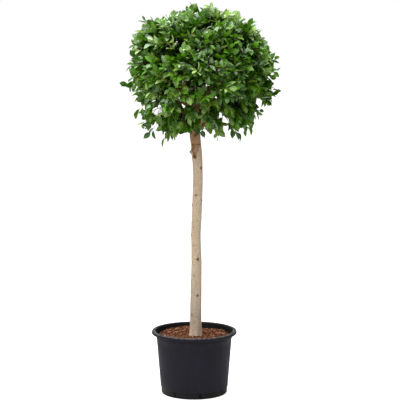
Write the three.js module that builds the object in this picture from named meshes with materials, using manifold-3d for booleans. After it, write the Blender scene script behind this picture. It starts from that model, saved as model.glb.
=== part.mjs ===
// A standard fig tree clipped to a ball head (a "lollipop"), in its black nursery pot.
//
// Frame: millimetres, +Z up, -Y is the front. The origin is the centre of the pot's flat underside.
// The pot holds a bed of baked-clay granules, the trunk stands on the bed, eleven boughs leave the top
// of the trunk, and each bough carries one mass of foliage. A mass is a tree of twigs that parts its
// share of the crown's tips in halves, with leaves round each tip and a smaller rounded core under them.

import * as THREE from "three";
import { mergeVertices } from "three/addons/utils/BufferGeometryUtils.js";
import Module from "manifold-3d";

const wasm = await Module();
wasm.setup();

// ---------------------------------------------------------------- driving dimensions

const GAP = 0.3; // clearance between pieces that touch

const SEEDS = { ripple: 11, twigs: 101, leaves: 601 };

const POT = {
  height: 297,
  sides: 36,
  wall: 2.4,
  floor: 4,
  baseRadius: 151,
  footChamfer: 5,
  footHeight: 31,
  footRadius: 156.5,
  footStep: 2,
  topRadius: 177,
  collarStep: 2.5,
  collarBottom: 263,
  lipBottom: 283,
  lipRadius: 200,
  lipRound: 7,
  drains: 8,
  drainWidth: 12,
  drainDepth: 30,
  drainLow: 4.6,
  drainHigh: 26,
  drainTurn: 10, // degrees from the front to the first drain
};

const BED = {
  edgeHeight: 262, // top of the granules at the wall
  footHeight: 267, // and round the trunk, where they are flat
  footRadius: 46,
  backRise: 13, // how far they are heaped up against the wall at the back, on the left
  backFrom: -50, // from here
  backTo: 130, // to here, front to back
  backRight: 0.5, // share of the heap that is left on the right
  rings: [0.9, 0.7, 0.5], // shares of the edge's radius
  ripple: 2.4,
};

const TRUNK = {
  sides: 10,
  steps: 26,
  // height, sideways and backward place of the centre line, radius
  stations: [
    [267.3, 7, 0, 33.5],
    [275, 7, 0, 31.5],
    [290, 7, 0, 29],
    [332, 7, 0, 26.8],
    [440, 8, 1, 26],
    [530, 9.5, 2, 24.6],
    [626, 11.2, 3, 23.4],
    [700, 9.2, 3, 22],
    [744, 8.4, 2, 21.8],
    [790, 10, 1, 21.8],
    [885, 14, -1, 22.1],
    [980, 18, -3, 22.2],
    [1020, 18, -3, 22.4],
    [1070, 16, -2, 23.8],
    [1110, 15, -1, 25],
    [1165, 10.5, 1, 26],
    [1210, 5, 2, 25.2],
    [1260, 4, 2, 23],
    [1320, 12, 2, 19],
  ],
  rootLobes: 5,
  rootSwell: 0.14, // how far the lobes stand out at the very foot
  rootFade: 34, // height over which they die away
};

// Pruned shoots left on the trunk: height, azimuth in degrees, radius, how far each stands out
const KNOTS = [
  [626, 291, 5, 2.2],
  [741, 184, 4, 2.6],
  [885, 188, 4, 2.4],
  [909, 355, 4, 2.4],
  [1058, 325, 5, 2.6],
  [1085, 80, 6, 3],
  [1128, 184, 6, 8],
];

// A knot is a short rod: its slope in degrees, where it starts in the trunk, and how it tapers
const KNOT = { rise: 20, root: 0.6, foot: 1.3, tip: 0.8, sides: 6 };

const CROWN = {
  centre: new THREE.Vector3(35, 4, 1500),
  radius: 356,
  rise: 315,
  drop: 320,
  squareAbove: 2.35, // exponent of the outline: 2 is an ellipse, more is squarer
  squareBelow: 2.6,
  tips: 130, // twig tips over the whole ball
  tipShare: 0.8, // where a direction's mass is looked up, as a share of the clipped surface
  bareUnder: -0.93, // no tips where the direction's height is less: the trunk comes in there
  heartShare: 0.6,
  furthest: 1.045, // leaves reach this share of the clipped surface
  strayLeaf: 0.13, // a stray shoot's twig ends this much short of its leaves
};

// Where the clipped surface stands out or falls in: azimuth, elevation, spread in degrees, depth
const SWELLS = [
  [0, 26, 12, -18],
  [0, -14, 14, 12],
  [0, -70, 14, -60],
  [180, 57, 9, -22],
  [180, 30, 12, 15],
  [180, -6, 9, 26],
  [180, -50, 14, 18],
  [180, -74, 8, -30],
  [180, 84, 7, 12],
];

// The masses sit in three tiers. Each has the elevation of its hearts, how much of the crown the cores
// fill, how far along the line from the fork to the heart a bough enters, and how its bough bends: how
// far out and how far up the bend is, as shares of the way. Droop is how much the leaves hang.
const TIERS = {
  top: { elevation: 86, coreShare: 0.89, entryShare: 0.7, spread: 0.5, climb: 0.5, droop: 0 },
  upper: { elevation: 27, coreShare: 0.89, entryShare: 0.72, spread: 0.6, climb: 0.5, droop: 0.2 },
  lower: { elevation: -25, coreShare: 0.85, entryShare: 0.45, spread: 0.62, climb: 0.3, droop: 0.55 },
};

// Masses of foliage: name, tier, azimuth of the heart, height at which the bough leaves the middle of
// the trunk, and the bough's radius at its foot and at its tip
const MASSES = [
  ["top", "top", 60, 1319, 12.5, 7.5],
  ["upper_front", "upper", 270, 1276, 10.5, 6.2],
  ["upper_right", "upper", 342, 1264, 11, 6.4],
  ["upper_back_right", "upper", 54, 1272, 10.5, 6],
  ["upper_back_left", "upper", 126, 1266, 10.5, 6],
  ["upper_left", "upper", 198, 1280, 11, 6.4],
  ["lower_front_left", "lower", 234, 1238, 11.5, 6.2],
  ["lower_front_right", "lower", 306, 1248, 11.5, 6.2],
  ["lower_right", "lower", 18, 1230, 11.5, 6.4],
  ["lower_back", "lower", 90, 1240, 11.5, 6.2],
  ["lower_left", "lower", 162, 1234, 11, 6.2],
];

const FORK = new THREE.Vector3(6, 2, 1330); // where the lines to the hearts meet

const BOUGH = { sides: 7, steps: 4, taper: 0.8 }; // taper: exponent of the fall in radius

const TWIG = {
  sides: 3,
  fork: 0.46, // a fork lies this share of the way to the middle of the tips it feeds
  wander: 0.1, // sideways, as a share of the twig's length
  tipRadius: 2.4,
  perTip: 0.42, // how much of a tip's cross-section each further tip adds
  taper: 0.85, // radius at a twig's fork, as a share of its foot's
  endTaper: 0.5, // and at a last twig's end
  sink: 2,
};

// The first twig of a mass: it starts inside its bough's end, before it is cut clear of the bough
const STEM = { back: 3, foot: 0.8, tip: 0.7, sides: 6 };

const LEAF = {
  length: 88,
  width: 48,
  thickness: 2.4,
  perTip: 3,
  sizes: [0.88, 1.12],
  rootSpread: 7, // how far round its twig's end a leaf is rooted in the core
  sink: 0.1, // the share of its length that lies behind its root
  // a leaf's direction is a sum of these: its twig's, outward from the crown, and to one side
  follow: 0.3,
  outward: [0.2, 0.55],
  aside: 0.8,
  hang: [0.4, 1.6], // and downward, by these shares of its tier's droop
  faceUp: 0.5, // its upper side looks outward and this far upward
  faceTilt: 0.35,
  turnSlack: 0.3, // how unevenly a twig's leaves stand round it, in leaves
  retryTurn: 0.27, // how far round a leaf with no room is turned, in turns
  tries: 5,
};

// Shoots that have grown out since the last clipping: azimuth, elevation, share of the surface
const STRAYS = [
  [196, 81, 1.06],
  [180, -5, 1.06],
  [2, 12, 1.03],
  [215, -48, 1.04],
  [330, -50, 1.04],
];

const CORE = {
  detail: 1,
  roundness: 12, // how squarely it fills its space
  clear: 2, // from the planes round it
  overTips: 0.04, // how far it stands over the twigs' ends, as a share of the crown
};
const SPACE_MARGIN = 0.8; // half the least gap between two masses

// ---------------------------------------------------------------- helpers

// Seeded draws between 0 and 1 (the "mulberry32" rule).
function dice(seed) {
  let state = seed >>> 0;
  return () => {
    state = (state + 0x6d2b79f5) >>> 0;
    let t = state;
    t = Math.imul(t ^ (t >>> 15), t | 1);
    t ^= t + Math.imul(t ^ (t >>> 7), t | 61);
    return ((t ^ (t >>> 14)) >>> 0) / 4294967296;
  };
}

const radians = THREE.MathUtils.degToRad;
const lerp = THREE.MathUtils.lerp;
const UP = new THREE.Vector3(0, 0, 1);

function between([low, high], roll) {
  return lerp(low, high, roll());
}

function heading(azimuth, elevation) {
  const [a, e] = [radians(azimuth), radians(elevation)];
  return new THREE.Vector3(Math.cos(a) * Math.cos(e), Math.sin(a) * Math.cos(e), Math.sin(e));
}

// A vector at right angles to a direction, turned round it by an angle.
function sideways(direction, angle) {
  const reference = Math.abs(direction.z) < 0.9 ? UP : new THREE.Vector3(1, 0, 0);
  return reference.clone().cross(direction).normalize().applyAxisAngle(direction, angle);
}

function solidOf(geometry) {
  const bare = geometry.index ? geometry.toNonIndexed() : geometry.clone();
  bare.deleteAttribute("normal");
  bare.deleteAttribute("uv");
  const merged = mergeVertices(bare, 1e-4);
  return new wasm.Manifold(
    new wasm.Mesh({
      numProp: 3,
      vertProperties: merged.attributes.position.array,
      triVerts: new Uint32Array(merged.index.array),
    }),
  );
}

function geometryOf(solid) {
  const mesh = solid.getMesh();
  const geometry = new THREE.BufferGeometry();
  geometry.setAttribute("position", new THREE.BufferAttribute(mesh.vertProperties, 3));
  geometry.setIndex(new THREE.BufferAttribute(mesh.triVerts, 1));
  geometry.computeVertexNormals();
  return geometry;
}

function fuse(solids) {
  return wasm.Manifold.union(solids);
}

// The largest body of a solid: loose scraps are dropped and sealed hollows filled.
function largestBody(solid) {
  return solid.decompose().reduce((a, b) => (b.volume() > a.volume() ? b : a));
}

// A closed solid of revolution round Z from (radius, height) pairs.
function turned(profile, sides) {
  const points = profile.map(([radius, height]) => new THREE.Vector2(radius, height));
  return new THREE.LatheGeometry(points, sides).rotateX(Math.PI / 2);
}

// A limb: a closed cylinder bent along a curve, its radius given by radiusAt(share, turn). Swell makes it
// that much thicker, and that much longer at the tip.
function limb(curve, radiusAt, sides, steps, swell) {
  const tube = new THREE.CylinderGeometry(1, 1, 1, sides, steps);
  const frames = curve.computeFrenetFrames(steps);
  const place = tube.attributes.position;
  const corner = new THREE.Vector3();
  for (let i = 0; i < place.count; i++) {
    corner.fromBufferAttribute(place, i);
    const share = corner.y + 0.5;
    const step = Math.round(share * steps);
    const radius = radiusAt(share, Math.atan2(corner.z, corner.x)) + swell;
    const point = curve.getPointAt(share);
    if (step === steps) point.addScaledVector(curve.getTangentAt(1), swell);
    point.addScaledVector(frames.binormals[step], corner.x * radius);
    point.addScaledVector(frames.normals[step], corner.z * radius);
    place.setXYZ(i, point.x, point.y, point.z);
  }
  return solidOf(tube);
}

// A straight tapering rod between two points.
function rod(from, to, radiusFrom, radiusTo, sides) {
  const along = to.clone().sub(from);
  const turn = new THREE.Quaternion().setFromUnitVectors(
    new THREE.Vector3(0, 1, 0),
    along.clone().normalize(),
  );
  const shape = new THREE.CylinderGeometry(radiusTo, radiusFrom, along.length(), sides, 1)
    .applyQuaternion(turn)
    .translate(...from.clone().lerp(to, 0.5).toArray());
  return solidOf(shape);
}

// ---------------------------------------------------------------- pot and granules

// Radius of the pot's inside at a height, up to the foot of the collar.
function insideRadius(height) {
  const share = (height - POT.floor) / (POT.collarBottom - POT.floor);
  return lerp(POT.baseRadius, POT.topRadius - POT.wall, share);
}

function pot() {
  const collar = POT.topRadius + POT.collarStep;
  const top = POT.height;
  const skin = POT.wall;
  const round = POT.lipRound;
  const outside = [
    [0, 0],
    [POT.baseRadius, 0],
    [POT.baseRadius + POT.footChamfer * 0.8, POT.footChamfer],
    [POT.footRadius, POT.footHeight],
    [POT.footRadius + POT.footStep, POT.footHeight + POT.footStep],
    [POT.topRadius, POT.collarBottom],
    [collar, POT.collarBottom + POT.collarStep],
    [collar + 1, POT.lipBottom],
  ];
  const lip = [
    [collar + 5, top - skin - 2],
    [POT.lipRadius - round, top - skin - 1],
    [POT.lipRadius - skin, top - round],
    [POT.lipRadius - skin - 0.5, POT.lipBottom],
    [POT.lipRadius - 0.5, POT.lipBottom],
    [POT.lipRadius, top - round],
    [POT.lipRadius - round * 0.3, top - round * 0.3],
    [POT.lipRadius - round, top],
    [collar + 7, top],
    [collar + 2.5, top - 2.5],
    [collar - 1.5, POT.lipBottom],
  ];
  const inside = [
    [insideRadius(POT.collarBottom), POT.collarBottom],
    [insideRadius(POT.floor), POT.floor],
    [0, POT.floor],
  ];
  const body = solidOf(turned([...outside, ...lip, ...inside], POT.sides));
  return body.subtract(fuse(drains()));
}

// Slots low in the wall that let water out.
function drains() {
  const tall = POT.drainHigh - POT.drainLow;
  return Array.from({ length: POT.drains }, (_, i) => {
    const azimuth = radians(270 + POT.drainTurn + (360 / POT.drains) * i);
    const slot = new THREE.BoxGeometry(POT.drainDepth, POT.drainWidth, tall)
      .translate(POT.footRadius, 0, POT.drainLow + tall / 2)
      .rotateZ(azimuth);
    return solidOf(slot);
  });
}

// How much higher than its plain mound the bed is at a place, towards the back of the pot.
function heapedUp(x, y) {
  const back = THREE.MathUtils.smoothstep(y, BED.backFrom, BED.backTo);
  const right = THREE.MathUtils.smoothstep(x, -BED.footRadius, BED.footRadius);
  return BED.backRise * back * lerp(1, BED.backRight, right);
}

// The bed of granules: it follows the pot's inside and is slightly uneven on top.
function granuleBed() {
  const low = POT.floor + GAP;
  const edge = insideRadius(BED.edgeHeight) - GAP;
  const rings = BED.rings.map((share) => [
    edge * share,
    lerp(BED.footHeight, BED.edgeHeight, (edge * share - BED.footRadius) / (edge - BED.footRadius)),
  ]);
  const profile = [
    [0, low],
    [insideRadius(low) - GAP, low],
    [edge, BED.edgeHeight],
    ...rings,
    [BED.footRadius, BED.footHeight],
    [0, BED.footHeight],
  ];
  const bare = turned(profile, POT.sides).deleteAttribute("normal").deleteAttribute("uv");
  const bed = mergeVertices(bare, 1e-3);
  const place = bed.attributes.position;
  const roll = dice(SEEDS.ripple);
  for (let i = 0; i < place.count; i++) {
    const [x, y, z] = [place.getX(i), place.getY(i), place.getZ(i)];
    const radius = Math.hypot(x, y);
    if (radius < BED.footRadius + 1 || z < BED.edgeHeight - 1) continue;
    const ripple = radius < edge - 1 ? between([-BED.ripple, BED.ripple], roll) : 0;
    place.setZ(i, z + ripple + heapedUp(x, y));
  }
  return solidOf(bed);
}

// ---------------------------------------------------------------- trunk

const trunkLine = new THREE.CatmullRomCurve3(
  TRUNK.stations.map(([height, x, y]) => new THREE.Vector3(x, y, height)),
);
const trunkFoot = TRUNK.stations[0][0];

// Centre and radius of the trunk at a height, straight between two stations.
function trunkAt(height) {
  const rows = TRUNK.stations;
  const reached = rows.findIndex((row) => row[0] >= height);
  const next = reached < 0 ? rows.length - 1 : Math.max(1, reached);
  const [a, b] = [rows[next - 1], rows[next]];
  const share = (height - a[0]) / (b[0] - a[0]);
  const [z, x, y, radius] = a.map((value, k) => lerp(value, b[k], share));
  return { centre: new THREE.Vector3(x, y, z), radius };
}

function trunkLimb(swell) {
  const radiusAt = (share, turn) => {
    const height = trunkLine.getPointAt(share).z;
    const lobes = Math.exp(-(height - trunkFoot) / TRUNK.rootFade) * TRUNK.rootSwell;
    return trunkAt(height).radius * (1 + lobes * Math.cos(TRUNK.rootLobes * turn));
  };
  return limb(trunkLine, radiusAt, TRUNK.sides, TRUNK.steps, swell);
}

function trunk() {
  const knots = KNOTS.map(([height, azimuth, radius, stand]) => {
    const { centre, radius: bark } = trunkAt(height);
    const out = heading(azimuth, KNOT.rise);
    const from = centre.clone().addScaledVector(out, bark * KNOT.root);
    const to = centre.clone().addScaledVector(out, bark + stand);
    return rod(from, to, radius * KNOT.foot, radius * KNOT.tip, KNOT.sides);
  });
  const flat = trunkLimb(0).trimByPlane([0, 0, 1], trunkFoot);
  return largestBody(fuse([flat, ...knots]));
}

// ---------------------------------------------------------------- the crown's shape

const swells = SWELLS.map(([azimuth, elevation, spread, depth]) => ({
  direction: heading(azimuth, elevation),
  spread: radians(spread),
  depth,
}));

// Distance from the crown's centre to its clipped surface along a unit direction.
function clippedReach(direction) {
  const above = direction.z > 0;
  const power = above ? CROWN.squareAbove : CROWN.squareBelow;
  const across = Math.hypot(direction.x, direction.y) / CROWN.radius;
  const along = Math.abs(direction.z) / (above ? CROWN.rise : CROWN.drop);
  const plain = (across ** power + along ** power) ** (-1 / power);
  return swells.reduce((reach, swell) => {
    const apart = direction.angleTo(swell.direction) / swell.spread;
    return reach + swell.depth * Math.exp(-apart * apart);
  }, plain);
}

function crownPoint(direction, share) {
  return CROWN.centre.clone().addScaledVector(direction, clippedReach(direction) * share);
}

// How far out a point lies: 0 at the crown's centre, 1 on the clipped surface.
function shareAt(point) {
  const offset = point.clone().sub(CROWN.centre);
  return offset.length() / clippedReach(offset.clone().normalize());
}

// Directions spread evenly over the ball by the golden angle.
function evenDirections(count) {
  const golden = Math.PI * (3 - Math.sqrt(5));
  return Array.from({ length: count }, (_, i) => {
    const z = 1 - (2 * i + 1) / count;
    const r = Math.sqrt(1 - z * z);
    return new THREE.Vector3(r * Math.cos(golden * i), r * Math.sin(golden * i), z);
  });
}

const masses = MASSES.map(([name, tierName, azimuth, height, foot, tip]) => {
  const tier = TIERS[tierName];
  const heart = crownPoint(heading(azimuth, tier.elevation), CROWN.heartShare);
  const entry = FORK.clone().lerp(heart, tier.entryShare);
  return { name, tier, heart, entry, height, foot, tip, tips: [] };
});

// The mass that a direction from the crown's centre passes through: the one with the nearest heart.
function ownerOf(direction) {
  const point = crownPoint(direction, CROWN.tipShare);
  return masses.reduce((a, b) => (a.heart.distanceTo(point) < b.heart.distanceTo(point) ? a : b));
}

// Most tips end just under the skin of their mass's core, and a stray shoot's stands out of it.
for (const direction of evenDirections(CROWN.tips)) {
  const owner = ownerOf(direction);
  const point = crownPoint(direction, owner.tier.coreShare - CORE.overTips);
  const tip = { point, furthest: CROWN.furthest, rootSpread: LEAF.rootSpread };
  if (direction.z > CROWN.bareUnder) owner.tips.push(tip);
}
for (const [azimuth, elevation, share] of STRAYS) {
  const direction = heading(azimuth, elevation);
  const point = crownPoint(direction, share - CROWN.strayLeaf);
  ownerOf(direction).tips.push({ point, furthest: share, rootSpread: 0 });
}

// The planes halfway between a mass's heart and the other hearts: its own space lies behind them.
for (const mass of masses) {
  mass.walls = masses
    .filter((other) => other !== mass)
    .map((other) => {
      const apart = other.heart.clone().sub(mass.heart);
      return { normal: apart.clone().normalize(), depth: apart.length() / 2 - SPACE_MARGIN };
    });
}

function keepsToItsSpace(mass, point) {
  const offset = point.clone().sub(mass.heart);
  return mass.walls.every(({ normal, depth }) => normal.dot(offset) < depth);
}

// ---------------------------------------------------------------- boughs

function boughCurve(mass) {
  const start = trunkAt(mass.height).centre;
  const bend = start.clone().lerp(mass.entry, mass.tier.spread);
  bend.z = lerp(start.z, mass.entry.z, mass.tier.climb);
  return new THREE.QuadraticBezierCurve3(start, bend, mass.entry);
}

function boughLimb(mass, swell) {
  const radiusAt = (share) => lerp(mass.foot, mass.tip, share ** BOUGH.taper);
  return limb(mass.curve, radiusAt, BOUGH.sides, BOUGH.steps, swell);
}

// ---------------------------------------------------------------- foliage

// Twigs from a point to a set of tips: one twig to a fork, then each half of the tips in turn.
function growTwigs(from, tips, roll, twigs) {
  const middle = new THREE.Vector3();
  tips.forEach((tip) => middle.addScaledVector(tip.point, 1 / tips.length));
  const last = tips.length === 1;
  const to = last ? tips[0].point.clone() : from.clone().lerp(middle, TWIG.fork);
  const along = to.clone().sub(from);
  const stray = sideways(along.clone().normalize(), 2 * Math.PI * roll());
  if (!last) to.addScaledVector(stray, along.length() * TWIG.wander * roll());
  const { furthest, rootSpread } = tips[0];
  twigs.push({ from, to, feeds: tips.length, last, furthest, rootSpread });
  if (last) return;
  const spans = ["x", "y", "z"].map((axis) => {
    const values = tips.map((tip) => tip.point[axis]);
    return [Math.max(...values) - Math.min(...values), axis];
  });
  const axis = spans.reduce((a, b) => (b[0] > a[0] ? b : a))[1];
  const sorted = [...tips].sort((a, b) => a.point[axis] - b.point[axis]);
  const half = sorted.length >> 1;
  growTwigs(to, sorted.slice(0, half), roll, twigs);
  growTwigs(to, sorted.slice(half), roll, twigs);
}

function twigSolid({ from, to, feeds, last }) {
  const along = to.clone().sub(from).normalize();
  const start = from.clone().addScaledVector(along, -TWIG.sink);
  const end = to.clone().addScaledVector(along, last ? 0 : TWIG.sink);
  const radius = TWIG.tipRadius * Math.sqrt(1 + (feeds - 1) * TWIG.perTip);
  return rod(start, end, radius, radius * (last ? TWIG.endTaper : TWIG.taper), TWIG.sides);
}

// A leaf is a flat double pyramid of eight faces, pointed at both ends.
function leafGeometry(root, direction, face, size) {
  const across = face.clone().cross(direction).normalize();
  const upper = direction.clone().cross(across);
  const long = LEAF.length * size;
  const blade = new THREE.OctahedronGeometry(1, 0);
  blade.scale(long / 2, LEAF.thickness / 2, (LEAF.width * size) / 2);
  const middle = root.clone().addScaledVector(direction, long * (0.5 - LEAF.sink));
  const frame = new THREE.Matrix4().makeBasis(direction, upper, across.negate()).setPosition(middle);
  return blade.applyMatrix4(frame);
}

function cornersOf(geometry) {
  const place = geometry.attributes.position;
  return Array.from({ length: place.count }, (_, i) => new THREE.Vector3().fromBufferAttribute(place, i));
}

// One try at the leaf numbered k at the end of a twig.
function leafTry(mass, twig, k, attempt, roll) {
  const along = twig.to.clone().sub(twig.from).normalize();
  const outward = twig.to.clone().sub(CROWN.centre).normalize();
  const turns = (k + LEAF.turnSlack * roll()) / LEAF.perTip + LEAF.retryTurn * attempt;
  const aside = sideways(outward, 2 * Math.PI * turns);
  const root = twig.to.clone().addScaledVector(aside, twig.rootSpread);
  const direction = along
    .multiplyScalar(LEAF.follow)
    .addScaledVector(outward, between(LEAF.outward, roll))
    .addScaledVector(aside, LEAF.aside)
    .addScaledVector(UP, -mass.tier.droop * between(LEAF.hang, roll))
    .normalize();
  const face = outward
    .clone()
    .addScaledVector(UP, LEAF.faceUp)
    .addScaledVector(sideways(outward, 2 * Math.PI * roll()), LEAF.faceTilt);
  return leafGeometry(root, direction, face, between(LEAF.sizes, roll));
}

// The leaf numbered k at the end of a twig, turned until it fits its mass's space and stands clear of
// the leaves of other twigs, or null.
function growLeaf(mass, twig, k, others, roll) {
  const fits = (corner) => keepsToItsSpace(mass, corner) && shareAt(corner) < twig.furthest;
  for (let attempt = 0; attempt < LEAF.tries; attempt++) {
    const leaf = leafTry(mass, twig, k, attempt, roll);
    if (!cornersOf(leaf).every(fits)) continue;
    const solid = solidOf(leaf);
    if (others.every((other) => other.intersect(solid).isEmpty())) return solid;
  }
  return null;
}

// Distance from a point along a direction to a share of the clipped surface, by halving.
function distanceToShare(from, direction, share) {
  let near = 0;
  let far = 2 * CROWN.radius;
  for (let i = 0; i < 24; i++) {
    const middle = (near + far) / 2;
    const inside = shareAt(from.clone().addScaledVector(direction, middle)) < share;
    if (inside) near = middle;
    else far = middle;
  }
  return near;
}

// The core: a ball pulled in on each side to the mass's own space and to a share of the crown.
function coreSolid(mass) {
  const back = mass.entry.clone().sub(mass.heart);
  const depth = back.length();
  const limits = [...mass.walls, { normal: back.normalize(), depth }];
  const ball = new THREE.IcosahedronGeometry(1, CORE.detail);
  const place = ball.attributes.position;
  const aim = new THREE.Vector3();
  for (let i = 0; i < place.count; i++) {
    aim.fromBufferAttribute(place, i).normalize();
    const pulls = limits.map(({ normal, depth }) => Math.max(0, normal.dot(aim)) / (depth - CORE.clear));
    pulls.push(1 / distanceToShare(mass.heart, aim, mass.tier.coreShare));
    const reach = pulls.reduce((sum, pull) => sum + pull ** CORE.roundness, 0) ** (-1 / CORE.roundness);
    aim.multiplyScalar(reach).add(mass.heart);
    place.setXYZ(i, aim.x, aim.y, aim.z);
  }
  return solidOf(ball);
}

// Everything of one mass, fused: its stem, twigs, leaves and core, clear of the limbs.
function foliage(mass, limbs, seed) {
  const start = mass.curve.getPoint(1);
  const twigs = [];
  growTwigs(start, mass.tips, dice(seed), twigs);
  const [first, ...rest] = twigs;
  const back = start.clone().addScaledVector(first.to.clone().sub(start).normalize(), -STEM.back);
  const stem = rod(back, first.to, mass.tip * STEM.foot, mass.tip * STEM.tip, STEM.sides);
  const roll = dice(seed + SEEDS.leaves);
  const leaves = [];
  for (const twig of rest.filter(({ last }) => last)) {
    const numbers = Array.from({ length: LEAF.perTip }, (_, k) => k);
    const spray = numbers.map((k) => growLeaf(mass, twig, k, leaves, roll));
    leaves.push(...spray.filter((leaf) => leaf));
  }
  const free = [...rest.map(twigSolid), ...leaves].filter((shoot) => shoot.intersect(limbs).isEmpty());
  return largestBody(fuse([stem, coreSolid(mass), ...free]).subtract(limbs));
}

// ---------------------------------------------------------------- assembly

const FINISHES = {
  plastic: { color: 0x26272a, roughness: 0.55, metalness: 0 },
  clay: { color: 0x96593f, roughness: 0.95, metalness: 0 },
  bark: { color: 0xb9a283, roughness: 0.85, metalness: 0 },
  leaves: { color: 0x3c6b2c, roughness: 0.45, metalness: 0 },
};

const tree = new THREE.Group();

function add(name, solid, finish) {
  const mesh = new THREE.Mesh(geometryOf(solid), new THREE.MeshStandardMaterial(finish));
  mesh.name = name;
  tree.add(mesh);
}

for (const mass of masses) mass.curve = boughCurve(mass);
const trunkRoom = trunkLimb(GAP);
const limbRoom = fuse([trunkRoom, ...masses.map((mass) => boughLimb(mass, GAP))]);

add("pot", pot(), FINISHES.plastic);
add("granule_bed", granuleBed(), FINISHES.clay);
add("trunk", trunk(), FINISHES.bark);
masses.forEach((mass, index) => {
  const branch = largestBody(boughLimb(mass, 0).subtract(trunkRoom));
  add("bough_" + mass.name, branch, FINISHES.bark);
  add("foliage_" + mass.name, foliage(mass, limbRoom, SEEDS.twigs + index), FINISHES.leaves);
});

export default tree;
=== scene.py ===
# A standard fig tree clipped to a ball head, in its black nursery pot: its looks.
#
# Metres, +Z up, -Y is the front, the origin is the middle of the pot's underside. The pot is spun from its
# section, the stem and boughs are rolled sheets of bark, and the crown grows on from the boughs: twigs part
# their share of the crown's tips in halves down to leafy shoots, which carry the leaves in turn round them.

import math

import bpy
import numpy as np
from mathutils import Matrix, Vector, noise


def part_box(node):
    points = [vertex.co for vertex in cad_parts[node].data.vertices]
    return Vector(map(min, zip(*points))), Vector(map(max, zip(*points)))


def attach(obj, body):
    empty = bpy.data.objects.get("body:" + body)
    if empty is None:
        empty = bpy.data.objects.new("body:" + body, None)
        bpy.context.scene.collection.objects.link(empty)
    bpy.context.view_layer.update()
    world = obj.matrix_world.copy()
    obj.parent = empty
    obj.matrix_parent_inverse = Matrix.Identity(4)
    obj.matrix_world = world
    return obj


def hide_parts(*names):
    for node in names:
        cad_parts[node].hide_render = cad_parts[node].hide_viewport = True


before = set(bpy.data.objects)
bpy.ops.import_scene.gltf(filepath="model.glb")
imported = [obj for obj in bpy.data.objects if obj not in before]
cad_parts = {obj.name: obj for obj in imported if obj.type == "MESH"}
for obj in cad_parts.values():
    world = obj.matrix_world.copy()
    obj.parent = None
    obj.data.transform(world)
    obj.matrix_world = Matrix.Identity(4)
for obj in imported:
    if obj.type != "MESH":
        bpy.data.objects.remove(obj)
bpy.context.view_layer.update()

BODY = "root"
MM = 0.001
MERGE = 0.01 * MM  # corners nearer than this are one
GOLDEN_TURN = math.pi * (3 - math.sqrt(5))
SEEDS = {"grains": 41, "tips": 77, "first_mass": 101, "specks": 24}

# ---------------------------------------------------------------- driving dimensions

POT_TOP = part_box("pot")[1].z
LIP_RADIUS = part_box("pot")[1].x

POT = {
    "steps": 160,
    "wall_steps": 8,
    "wall": 2.4 * MM,
    "floor": 4 * MM,
    "base_radius": 151 * MM,
    "corner": 5 * MM,
    "corner_in": 1.5 * MM,  # the middle of the corner's curve, in from the base's edge
    "foot_height": 31 * MM,
    "foot_radius": 156.5 * MM,
    "foot_step": 2 * MM,
    "top_radius": 177 * MM,
    "collar_step": 2.5 * MM,
    "collar_bottom": 263 * MM,
    "lip_bottom": 283 * MM,
    "lip_round": 7 * MM,
    "lip_inner": 7 * MM,  # the middle of its inner curve, out from the collar
    "lip_opens": 5.5 * MM,  # how far above the lip's lower edge the wall turns out into it
    "collar_middle": -1 * MM,  # the middle of the wall under that, from the collar's outside
    "lip_middle": 3.5 * MM,  # the same above it
    "front": (-80 * MM, -180 * MM),  # where the paler front of the lip begins and is full
}
# Where the pot's section bends beside its corners: steps outwards and upwards in millimetres
BENDS = {
    "base": [(-2, 0)],
    "foot": [(-0.3, -1.5), (0.2, 0)],
    "foot_step": [(-0.4, -0.4), (0, 1)],
    "wall_top": [(0.8, 1.2)],
    "collar": [(-0.3, 2.4), (0, 4)],
    "lip": [(1, 0), (2, 5)],
    "under_top": [(5, -1.8)],
    "under_curve": [(-1, -0.6)],
    "rim_inside": [(0, 0.4)],
    "rim": [(-1.2, -0.3), (-0.2, 0.6)],
    "inner_lip": [(-1.5, 0)],
    "inner_wall": [(1, 2), (0, -1)],
}
DRAIN = {
    "count": 8,
    "width": 12 * MM,
    "depth": 30 * MM,
    "low": 4.6 * MM,
    "high": 26 * MM,
    "corner": 2.5 * MM,
    "turn": 10,  # of the first slot, in degrees from the front
}

BED = {
    "edge_height": 264 * MM,
    "middle_height": 268 * MM,
    "back_rise": 13 * MM,  # how far it is heaped up against the wall at the back, on the left
    "back": (-50 * MM, 130 * MM),  # where the heap begins and is full, from front to back
    "back_wall": 12 * MM,  # the width beside the wall in which it falls away
    "right": (-50 * MM, 60 * MM),  # where it begins to die down and has done so, from left to right
    "right_share": 0.3,  # what is left of it there
    "stem_radius": 46 * MM,
    "rings": 40,
    "steps": 120,
    "ripple": 2.2 * MM,
    "ripples": [(34, 3.1, 1), (95, 7.7, 0.6)],  # how fine each is, its place in the noise, and its share
    "sunk": 3 * MM,  # how far the bed falls away beside the wall
    "sunk_width": 9 * MM,
    "clear": 0.6 * MM,  # between the filling and the wall
    "over_floor": 0.4 * MM,
    "under_grains": 2.5 * MM,
    # Two low mounds: sideways and backward place, height and reach
    "mounds": [(5 * MM, -30 * MM, 4 * MM, 50 * MM), (120 * MM, 90 * MM, 7 * MM, 35 * MM)],
}
GRAIN = {
    "count": 9600,
    "sizes": (2.0 * MM, 4.3 * MM),
    "rough": 0.35,
    "shapes": 14,
    "squash": (0.75, 1.25),
    "clear": 0.5 * MM,
    "proud": (-0.1, 0.8),  # how far grains stand out of the bed, as shares of their size
    "unrest": 0.4,  # of their spiral, in radians
    "on_stem": 0.2,
    "settled": 2 * MM,  # how far the lowest lie in the bed
}

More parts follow.
